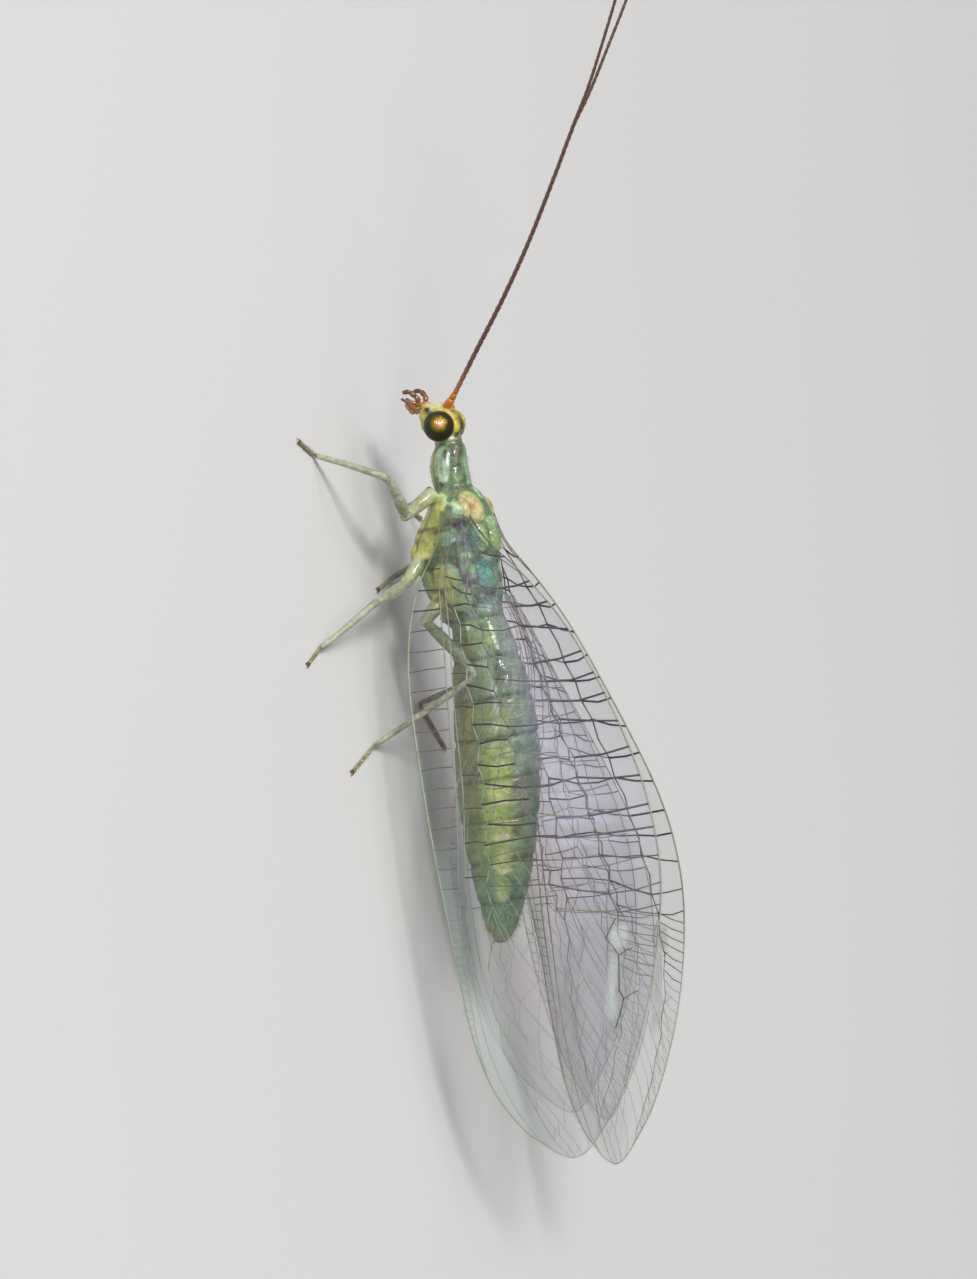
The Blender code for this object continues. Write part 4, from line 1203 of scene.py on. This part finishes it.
def make_body(finish):
    """Head, trunk, wing roots, hips and legs as one skin."""
    shells = [trunk_shell()]
    shells += [ball(centre, radii, 20, 32) for centre, radii in both_sides(HEAD_SHAPES + WING_ROOTS)]
    for title in LEG_JOINTS:
        joints, side = leg_line(title)
        path, share = bent(joints[0], joints[1], (side * 0.04, 0.0, 0.02), 10)
        shells.append(tube(path, between(HIP_GIRTH, share), HIP_SIDES))
        shells.append(ball(joints[1], (TROCHANTER_RADIUS,) * 3, 12, 16))
    core = joined_shells("body_core", shells)
    remesh = core.modifiers.new("one_skin", "REMESH")
    remesh.mode = "VOXEL"
    remesh.voxel_size = SKIN_VOXEL
    even = core.modifiers.new("even_out", "SMOOTH")
    even.factor = 0.5
    even.iterations = 2
    core = made_plain(core, "body_core")
    core.data.materials.clear()
    core.data.materials.append(finish)
    tubes = [part for title in LEG_JOINTS for part in leg_tubes(title)]
    legs = joined_shells("legs", [part[:2] for part in tubes], finish)
    for part, shades in ((core, skin_paint(points_of(core.data))),
                         (legs, np.vstack([part[2] for part in tubes]))):
        write_values(part.data, {"paint": np.hstack([shades, np.ones((len(shades), 1))])})
    skin = joined("body_skin", [core, legs])
    skin.data.shade_smooth()
    return skin


skin_look = skin_finish()
body = make_body(skin_look)
FLESH = ["head", "prothorax", "mesothorax", "metathorax", "abdomen_front", "abdomen_middle", "abdomen_tip"]
FLESH += [f"leg_{title}_{part}" for title in LEG_JOINTS for part in ("coxa", "femur", "tibia", "tarsus")]
settle(body, FLESH)


# ---- eyes, mouth and feelers

PAINTED_GLEAM_AXIS = np.array((0.925, -0.17, 0.335))  # middle of the painted gleam on the left eye: a reflection painted round a fixed axis
EYE_RINGS, EYE_SIDES = 48, 72


def eye_finish():
    """Near-black eye with its own metallic copper, gold and green, painted round one axis as a reflection
    with a pinkish-white painted highlight in its middle.
    """
    finish = Finish("metallic_eye", Roughness=0.3, Coat_Weight=0.22, Coat_Roughness=0.04,
                    Specular_IOR_Level=0.15)
    turned = finish.value_of("turned")
    uneven = (turned + (finish.noise(5.0) - 0.5) * 0.14).within()
    # painted reflection: a pinkish-white painted highlight in the middle, then copper, gold and green out to
    # the near-black rim
    colour = finish.ramp([(0.0, (1.0, 0.55, 0.45)), (0.1, (0.9, 0.32, 0.16)), (0.19, (0.5, 0.24, 0.03)),
                          (0.28, (0.13, 0.14, 0.012)), (0.4, (0.03, 0.028, 0.004)),
                          (0.7, (0.02, 0.008, 0.003))], uneven)
    finish.put(Base_Color=colour, Metallic=(1.1 - uneven * 2.0).within())
    facets = finish.cells(30.0, "DISTANCE_TO_EDGE", randomness=0.25)
    finish.bump((facets * 3.0).within(), 0.006, 0.8)
    return finish.material


def make_eye(side, side_name, finish):
    """One eye, with how far each of its points is turned from the middle of its painted gleam."""
    centre = side_of(EYE_CENTRE, side) - (0.0, 0.0, EYE_DROP if side < 0 else 0.0)
    points, faces = ball(centre, EYE_RADII, EYE_RINGS, EYE_SIDES)
    normal = unit((points - centre) / np.array(EYE_RADII) ** 2)
    axis = side_of(PAINTED_GLEAM_AXIS, side) / np.linalg.norm(PAINTED_GLEAM_AXIS)
    turned = np.arccos(np.clip(normal @ axis, -1.0, 1.0)) / (math.pi / 2.0)
    return joined_shells(f"eye_{side_name}_shell", [(points, faces)], finish,
                         {"turned": np.clip(turned, 0.0, 1.0)})


def horn_finish(name, colours, gloss=0.4):
    """Shiny horn whose colour runs with the value `shade`."""
    finish = Finish(name, Roughness=0.32, Coat_Weight=gloss, Coat_Roughness=0.12)
    shade = (finish.value_of("shade") + (finish.noise(7.0, 3.0) - 0.5) * 0.3).within()
    finish.put(Base_Color=finish.ramp(colours, shade))
    finish.bump(finish.noise(30.0), 0.006)
    return finish.material


def beads_along(path, shares, girths, waist=0.72, sides=14):
    """Closed joints along a path: each a short spindle, thinner at both its ends."""
    reach = reach_along(path)
    along = curve_through(np.column_stack([reach / reach[-1], path]))
    share = np.linspace(0.0, 1.0, 11)
    swell = waist + (1.0 - waist) * np.sin(math.pi * np.clip(share * 0.9 + 0.08, 0.0, 1.0)) ** 0.6
    shells, start = [], 0.0
    for length, girth in zip(shares, girths):
        shells.append(tube(along(start + length * (0.01 + 0.98 * share)), girth * swell, sides))
        start += length
    return shells


def shaded_shells(name, groups, finish):
    """One mesh of closed shells, each with its own shade."""
    shade = np.concatenate([np.full(len(shell[0]), value) for shell, value in groups])
    return joined_shells(name, [shell for shell, _ in groups], finish, {"shade": shade})


PALP_PATH = [(0.14, -2.1, 1.8), (0.24, -2.3, 1.86), (0.3, -2.42, 1.8), (0.33, -2.49, 1.71),
             (0.34, -2.5, 1.59)]
PALP_WAIST = 0.6
PALP_SHARES, PALP_GIRTHS = (0.14, 0.15, 0.24, 0.22, 0.25), (0.05, 0.055, 0.062, 0.06, 0.05)
LIP_PALP_PATH = [(0.06, -2.12, 1.68), (0.12, -2.24, 1.6), (0.14, -2.33, 1.52), (0.13, -2.38, 1.46)]
JAW_PATH = [(0.15, -2.08, 1.8), (0.16, -2.19, 1.7), (0.11, -2.27, 1.61), (0.03, -2.3, 1.55)]
JAW_GIRTH = (0.075, 0.02)
# Dark knob of the left cheek, and the lip: centre and radii
CHEEK, LIP = ((0.32, -2.05, 2.05), (0.045, 0.05, 0.055)), ((0.0, -2.12, 1.62), (0.12, 0.1, 0.09))
MAXILLA_PATH = [(0.1, -2.05, 1.7), (0.12, -2.15, 1.6), (0.08, -2.25, 1.53)]


def make_mouth(finish):
    """Jaws, lower jaws, lip and lip palps, and the knob of each cheek."""
    groups = []
    reach = np.linspace(0.0, 1.0, 14)
    for side in SIDES.values():
        line = smooth_path(side_of(JAW_PATH, side), reach)
        groups.append((tube(line, between(JAW_GIRTH, reach ** 1.4), 14), 0.55))
        groups.append((ball(side_of(CHEEK[0], side), CHEEK[1], 12, 16), 1.0))
        for path, shares, girths, shade in ((MAXILLA_PATH, (0.4, 0.6), (0.075, 0.055), 0.35),
                                            (LIP_PALP_PATH, (0.3, 0.3, 0.4), (0.035, 0.035, 0.03), 0.6)):
            groups += [(shell, shade) for shell in beads_along(side_of(path, side), shares, girths)]
    groups.append((ball(*LIP, 14, 20), 0.3))
    return shaded_shells("mouthparts", groups, finish)


def make_palp(side, side_name, finish):
    """One palp of five joints, each darker than the one before."""
    shells = beads_along(side_of(PALP_PATH, side), PALP_SHARES, PALP_GIRTHS, PALP_WAIST)
    groups = [(shell, 0.4 + 0.1 * k) for k, shell in enumerate(shells)]
    return shaded_shells(f"palp_{side_name}_joints", groups, finish)


SCAPE_PATH = [(0.16, -2.03, 2.4), (0.2, -2.1, 2.5), (0.25, -2.2, 2.62), (0.272, -2.28, 2.7)]
SCAPE_SHARES, SCAPE_GIRTHS = (0.68, 0.32), (0.088, 0.066)
WHIP_SIDES = 12
WHIP_START = 2  # the whip begins after this many knots of the feeler's path
BEAD_LENGTH = 0.165
BEAD_PINCH = 0.27  # how much thinner the whip is between two beads
BEAD_SHADE = 0.25  # and how much darker
WHIP_STEP = 0.0275
WHIP_GIRTH = (0.05, 0.028)


def feeler_drop(points, side):
    """The right feeler hangs a little lower than the left."""
    if side < 0:
        points = points - np.outer(np.minimum(points[:, 0], ANTENNA_DROP_SPREAD), (0.0, 0.0, ANTENNA_DROP))
    return side_of(points, side)


def whip_line():
    """Points along the left whip at even steps, and their distance from its root."""
    knots = np.array([SCAPE_PATH[-1]] + ANTENNA_PATH[WHIP_START:], float)
    reach = reach_along(knots)
    far = np.arange(0.0, reach[-1], WHIP_STEP)
    return curve_through(np.column_stack([reach, knots]))(far), far


def whip_girth(far):
    """Radius of the whip at each of its points."""
    return between(WHIP_GIRTH, (far / far[-1]) ** 0.8)


def make_feeler(side, side_name, finish):
    """Scape and pedicel, then the whip of many beads."""
    line, far = whip_line()
    near_joint = np.abs(far / BEAD_LENGTH - np.round(far / BEAD_LENGTH)) * BEAD_LENGTH
    values = {"thick": whip_girth(far) * (1.0 - BEAD_PINCH * bell(near_joint, 0.022)),
              "shade": np.clip(0.18 + far / 1.6, 0.0, 0.72) + BEAD_SHADE * bell(near_joint, 0.02)}
    edges = [(k, k + 1) for k in range(len(line) - 1)]
    whip = mesh_object("whip", feeler_drop(line, side), edges=edges, values=values)
    whip = grown(whip, "whip", VEIN_TREE, {"Sides": WHIP_SIDES, "Finish": finish})
    shells = beads_along(feeler_drop(np.array(SCAPE_PATH), side), SCAPE_SHARES, SCAPE_GIRTHS, 0.7, 18)
    scape = shaded_shells("scape", [(shells[0], 0.0), (shells[1], 0.12)], finish)
    feeler = joined(f"feeler_{side_name}", [whip, scape])
    facing_out(feeler.data)
    feeler.data.shade_smooth()
    return feeler


eye_look = eye_finish()
amber_look = horn_finish("amber_mouth", [(0.0, (0.45, 0.27, 0.05)), (0.45, (0.3, 0.12, 0.02)),
                                         (0.75, (0.12, 0.045, 0.012)), (1.0, (0.012, 0.008, 0.006))], 0.7)
feeler_look = horn_finish("feeler_brown", [(0.0, (0.55, 0.17, 0.01)), (0.35, (0.26, 0.085, 0.02)),
                                           (0.65, (0.12, 0.045, 0.025)), (1.0, (0.05, 0.02, 0.014))])
settle(make_mouth(amber_look), ["mouth"])
ANTENNA_PARTS = ("scape", "whip_base", "whip_middle", "whip_tip")
for side_name, side in SIDES.items():
    settle(make_eye(side, side_name, eye_look), [f"eye_{side_name}"])
    settle(make_palp(side, side_name, amber_look), [f"palp_{side_name}"])
    settle(make_feeler(side, side_name, feeler_look),
           [f"antenna_{side_name}_{part}" for part in ANTENNA_PARTS])


# ---- claws and hairs

CLAW_SPREAD = 0.05
# A claw from its root to its point: forward, share of the spread, up
CLAW_HOOK = [(-0.03, 0.0, 0.0), (0.035, 0.7, 0.012), (0.085, 1.0, -0.008), (0.1, 0.95, -0.034)]
CLAW_GIRTH = (0.017, 0.005)
PAD_RADII = (0.034, 0.034, 0.026)
HAIR_PATCH = 0.003  # side of a hair's own patch on the map
claw_look = horn_finish("claw_horn", [(0.0, (0.2, 0.1, 0.03)), (1.0, (0.02, 0.01, 0.006))])


def make_claws(finish):
    """Two hooked claws and a pad at the end of each foot, on the floor."""
    groups = []
    share = np.linspace(0.0, 1.0, 9)
    for title in LEG_JOINTS:
        joints, _ = leg_line(title)
        end, ahead = joints[4], joints[4] - joints[3]
        ahead[2] = 0.0
        ahead /= np.linalg.norm(ahead)
        across = np.cross(ahead, (0.0, 0.0, 1.0))
        for turn in (CLAW_SPREAD, -CLAW_SPREAD):
            hook = [end + ahead * forward + across * turn * out + (0.0, 0.0, up)
                    for forward, out, up in CLAW_HOOK]
            groups.append((tube(smooth_path(np.array(hook), share), between(CLAW_GIRTH, share), 8), 0.7))
        groups.append((ball(end + ahead * 0.03 - (0.0, 0.0, 0.012), PAD_RADII, 8, 12), 0.1))
    return shaded_shells("claws", groups, finish)


def bristles(name, roots, lies, homes, finish, stoutness):
    """A pointed bristle on each root, and for each a small patch of its own on the map OFBake."""
    values = {"lie": lies, "home": np.hstack([homes, np.zeros((len(homes), 1))])}
    obj = mesh_object(name, roots, values=values)
    obj = grown(obj, name, BRISTLE_TREE, {"Stoutness": stoutness, "Finish": finish})
    mesh = obj.data
    home = np.zeros(len(mesh.vertices) * 3, np.float32)
    mesh.attributes["home"].data.foreach_get("vector", home)
    corners = np.zeros(len(mesh.loops), np.int32)
    mesh.loops.foreach_get("vertex_index", corners)
    patch = np.array([(0.0, 0.0), (1.0, 0.0), (1.0, 1.0), (0.0, 1.0)]) * HAIR_PATCH
    places = home.reshape(-1, 3)[corners, :2] + patch[corners % 4]
    mesh.uv_layers.new(name="OFBake").data.foreach_set("uv", places.astype(np.float32).ravel())
    for title in values:
        mesh.attributes.remove(mesh.attributes[title])
    return obj


VEIN_HAIR_STEP, VEIN_HAIR_LENGTH = 0.085, 0.085
FRINGE_STEP, FRINGE_LENGTH = 0.045, 0.1
BODY_HAIRS, TAIL_HAIRS = 2600, 160
ROOT_DEPTH = 0.012  # a hair of the body starts this share of the trunk under the skin
# Hairs of the limbs: spacing along the limb, and length
LEG_HAIRS, FOOT_HAIRS, WHIP_HAIRS = (0.017, 0.075), (0.013, 0.075), (0.012, 0.055)
FOOT_GIRTH = 0.041  # mean radius of a foot
HAIR_STOUTNESS = {"wing": 0.045, "body": 0.055, "limb": 0.06}  # radius at the root, as a share of length
HAIR_SEED = 5
HAIR_CLEARANCE = 0.004  # hairs that come nearer to the floor are left out


def wing_hairs(name, net, side, tile, finish, chance):
    """Short hairs along the veins of a wing and a fringe round its margin."""
    roots, lies, homes = [], [], []
    outward = side_of(OUTWARD, side)
    for path, _, _ in net.lines:
        line = on_wing(net.wing, side, *path.T)
        reach = reach_along(line)
        on_margin = any(np.all(edge) for edge in (path[:, 1] == 0.0, path[:, 1] == 1.0, path[:, 0] == 1.0))
        far = np.arange(0.03, reach[-1], FRINGE_STEP if on_margin else VEIN_HAIR_STEP)
        if not len(far):
            continue
        spot = spots_along(far, reach, line)
        middle = np.tile(on_wing(net.wing, side, 0.5, 0.5), (len(far), 1))
        middle[:, 1] = spot[:, 1]
        away = unit(spot - middle)
        if on_margin:
            lie = away + (0.0, 0.75, 0.0) + outward * chance.uniform(-0.25, 0.25, (len(far), 1))
            length = FRINGE_LENGTH * chance.uniform(0.75, 1.15, len(far))
        else:
            flip = np.where(chance.random(len(far)) < 0.5, 1.0, -1.0)[:, None]
            lie = outward * flip * 0.8 + (0.0, 0.7, 0.0) + chance.uniform(-0.5, 0.5, (len(far), 3))
            length = VEIN_HAIR_LENGTH * chance.uniform(0.6, 1.1, len(far))
        roots.append(spot)
        lies.append(unit(lie) * length[:, None])
        homes.append(np.array(tile) + spots_along(far, reach, path) * (0.48, 0.22))
    return bristles(name, np.vstack(roots), np.vstack(lies), np.vstack(homes), finish,
                    HAIR_STOUTNESS["wing"])


def body_hairs(finish, chance):
    """Fine hairs on the thorax and abdomen, longest round the tip of the abdomen."""
    y = np.concatenate([chance.uniform(-1.2, 9.15, BODY_HAIRS), chance.uniform(8.6, 9.15, TAIL_HAIRS)])
    turn = chance.uniform(0.0, 360.0, len(y))
    _, wide, high = trunk_at(y).T
    angle = np.radians(turn)
    normal = unit(np.stack([np.sin(angle) / wide, 0.0 * y, np.cos(angle) / high], axis=1))
    slope = 0.9 + 0.5 * smooth_step(2.4, 4.0, y)
    lies = unit(normal + np.outer(slope, (0.0, 1.0, 0.0)) + chance.uniform(-0.3, 0.3, (len(y), 3)))
    length = (0.085 + 0.04 * smooth_step(8.0, 8.9, y)) * chance.uniform(0.6, 1.2, len(y))
    homes = np.stack([0.02 + (y + 1.3) / 10.5 * 0.44, 0.52 + turn / 360.0 * 0.2], axis=1)
    return bristles("body_hairs", on_trunk(y, turn, ROOT_DEPTH), lies * length[:, None], homes, finish,
                    HAIR_STOUTNESS["body"])


def leg_hairs(finish, chance):
    """Slanting hairs round the legs and feelers."""
    roots, lies, homes = [], [], []

    def ring_hairs(path, girths, step, length, tile, width):
        """Hairs on every side of a limb, at a step along it."""
        reach = reach_along(path)
        far = np.arange(0.02, reach[-1], step)
        ahead = unit(spots_along(far, reach, np.gradient(path, axis=0)))
        wild = chance.uniform(-1.0, 1.0, (len(far), 3))
        out = unit(wild - ahead * np.sum(wild * ahead, axis=1)[:, None])
        girth = np.interp(far, reach, girths)
        roots.append(spots_along(far, reach, path) + out * girth[:, None] * 0.9)
        lies.append(unit(out * 0.8 + ahead) * length * chance.uniform(0.7, 1.15, (len(far), 1)))
        homes.append(np.stack([tile[0] + far / reach[-1] * width, tile[1] + 0.0 * far], axis=1))

    for k, title in enumerate(LEG_JOINTS):
        joints, _ = leg_line(title)
        tile_row = 0.76 + 0.02 * k
        ring_hairs(*leg_axis(*joints[1:4]), *LEG_HAIRS, (0.02, tile_row), 0.29)
        ring_hairs(joints[3:], np.full(2, FOOT_GIRTH), *FOOT_HAIRS, (0.32, tile_row), 0.14)
    line, far = whip_line()
    for k, side in enumerate(SIDES.values()):
        ring_hairs(feeler_drop(line, side), whip_girth(far), *WHIP_HAIRS, (0.52, 0.6 + 0.02 * k), 0.44)
    roots, lies, homes = np.vstack(roots), np.vstack(lies), np.vstack(homes)
    keep = roots[:, 2] + np.minimum(lies[:, 2], 0.0) > HAIR_CLEARANCE
    return bristles("leg_and_feeler_hairs", roots[keep], lies[keep], homes[keep], finish,
                    HAIR_STOUTNESS["limb"])


def hair_finish(name, root_colour):
    """Dull hair, paler in places."""
    finish = Finish(name, Roughness=0.45)
    finish.put(Base_Color=finish.blend(finish.noise(1.5), root_colour, (0.5, 0.46, 0.36)))
    return finish.material


settle(make_claws(claw_look))
chance = np.random.default_rng(HAIR_SEED)
hair_look = hair_finish("pale_hair", (0.3, 0.28, 0.2))
wing_hair_look = hair_finish("wing_hair", (0.2, 0.17, 0.14))
# Corner of each wing's hairs on the map
TILES = {("forewing", "left"): (0.01, 0.01), ("forewing", "right"): (0.51, 0.01),
         ("hindwing", "left"): (0.01, 0.26), ("hindwing", "right"): (0.51, 0.26)}
for (pair, side_name), net in nets.items():
    settle(wing_hairs(f"{pair}_{side_name}_hairs", net, SIDES[side_name], TILES[pair, side_name],
                      wing_hair_look, chance))
settle(body_hairs(hair_look, chance))
settle(leg_hairs(hair_look, chance))


# ---- stage, lights and camera

FLOOR_REACH = 2.5  # half the width of the floor in metres
SKY_COLOUR, SKY_STRENGTH = (0.93, 0.95, 1.0, 1.0), 0.28
VIEW_ELEVATION = math.radians(20.0)
VIEW_ROLL = math.radians(10.0)
VIEW_DISTANCE = 185.0
LENS = 250.0
RIGHT = Vector((-math.sin(VIEW_ELEVATION) * math.cos(VIEW_ROLL), math.sin(VIEW_ROLL),
                math.cos(VIEW_ELEVATION) * math.cos(VIEW_ROLL)))
TOWARDS = Vector((math.cos(VIEW_ELEVATION), 0.0, math.sin(VIEW_ELEVATION)))
UPWARD = TOWARDS.cross(RIGHT)
AIM = Vector(WING_ROOT) + RIGHT * 0.802 - UPWARD * 2.802
# Each lamp: where it stands as seen from the insect, its distance and width in metres, and its power
LAMPS = {"key_lamp": (TOWARDS + RIGHT * 0.4 + UPWARD * 0.52, 0.60, 0.16, 3.0),
         "soft_lamp": (Vector((0.35, -0.5, 1.0)), 0.50, 0.40, 0.9)}


def set_stage():
    """A pale floor, a soft sky and two soft lamps."""
    finish = Finish("studio_floor", Roughness=0.7, Specular_IOR_Level=0.25)
    finish.put(Base_Color=finish.blend(finish.noise(0.03), (0.64, 0.63, 0.615), (0.67, 0.66, 0.645)))
    corners = [(x * FLOOR_REACH, y * FLOOR_REACH, 0.0) for x, y in ((-1, -1), (1, -1), (1, 1), (-1, 1))]
    mesh = bpy.data.meshes.new("studio_floor")
    mesh.from_pydata(corners, [], [(0, 1, 2, 3)])
    mesh.materials.append(finish.material)
    new_object("studio_floor", mesh)

    sky = bpy.data.worlds.new("studio_sky")
    sky.use_nodes = True
    light = sky.node_tree.nodes["Background"].inputs
    light["Color"].default_value = SKY_COLOUR
    light["Strength"].default_value = SKY_STRENGTH
    bpy.context.scene.world = sky

    middle = Vector((0.0, 4.0, 2.0)) * MM + SHIFT
    for name, (towards, distance, width, power) in LAMPS.items():
        lamp = bpy.data.lights.new(name, "AREA")
        lamp.shape = "DISK"
        lamp.size = width
        lamp.energy = power
        direction = towards.normalized()
        new_object(name, lamp).matrix_world = (Matrix.Translation(middle + direction * distance)
                                               @ direction.to_track_quat("Z", "Y").to_matrix().to_4x4())


def set_camera():
    """A long lens at the insect's left side, rolled with it."""
    lens = bpy.data.cameras.new("camera")
    lens.lens = LENS
    lens.sensor_width = 36.0
    lens.clip_start = 0.01
    lens.clip_end = 20.0
    camera = new_object("camera", lens)
    turn = Matrix((RIGHT, UPWARD, TOWARDS)).transposed().to_4x4()
    camera.matrix_world = Matrix.Translation((AIM + TOWARDS * VIEW_DISTANCE) * MM + SHIFT) @ turn
    bpy.context.scene.camera = camera


set_stage()
set_camera()
bpy.context.scene.cycles.transparent_max_bounces = 24
bpy.context.scene.view_settings.view_transform = "Standard"
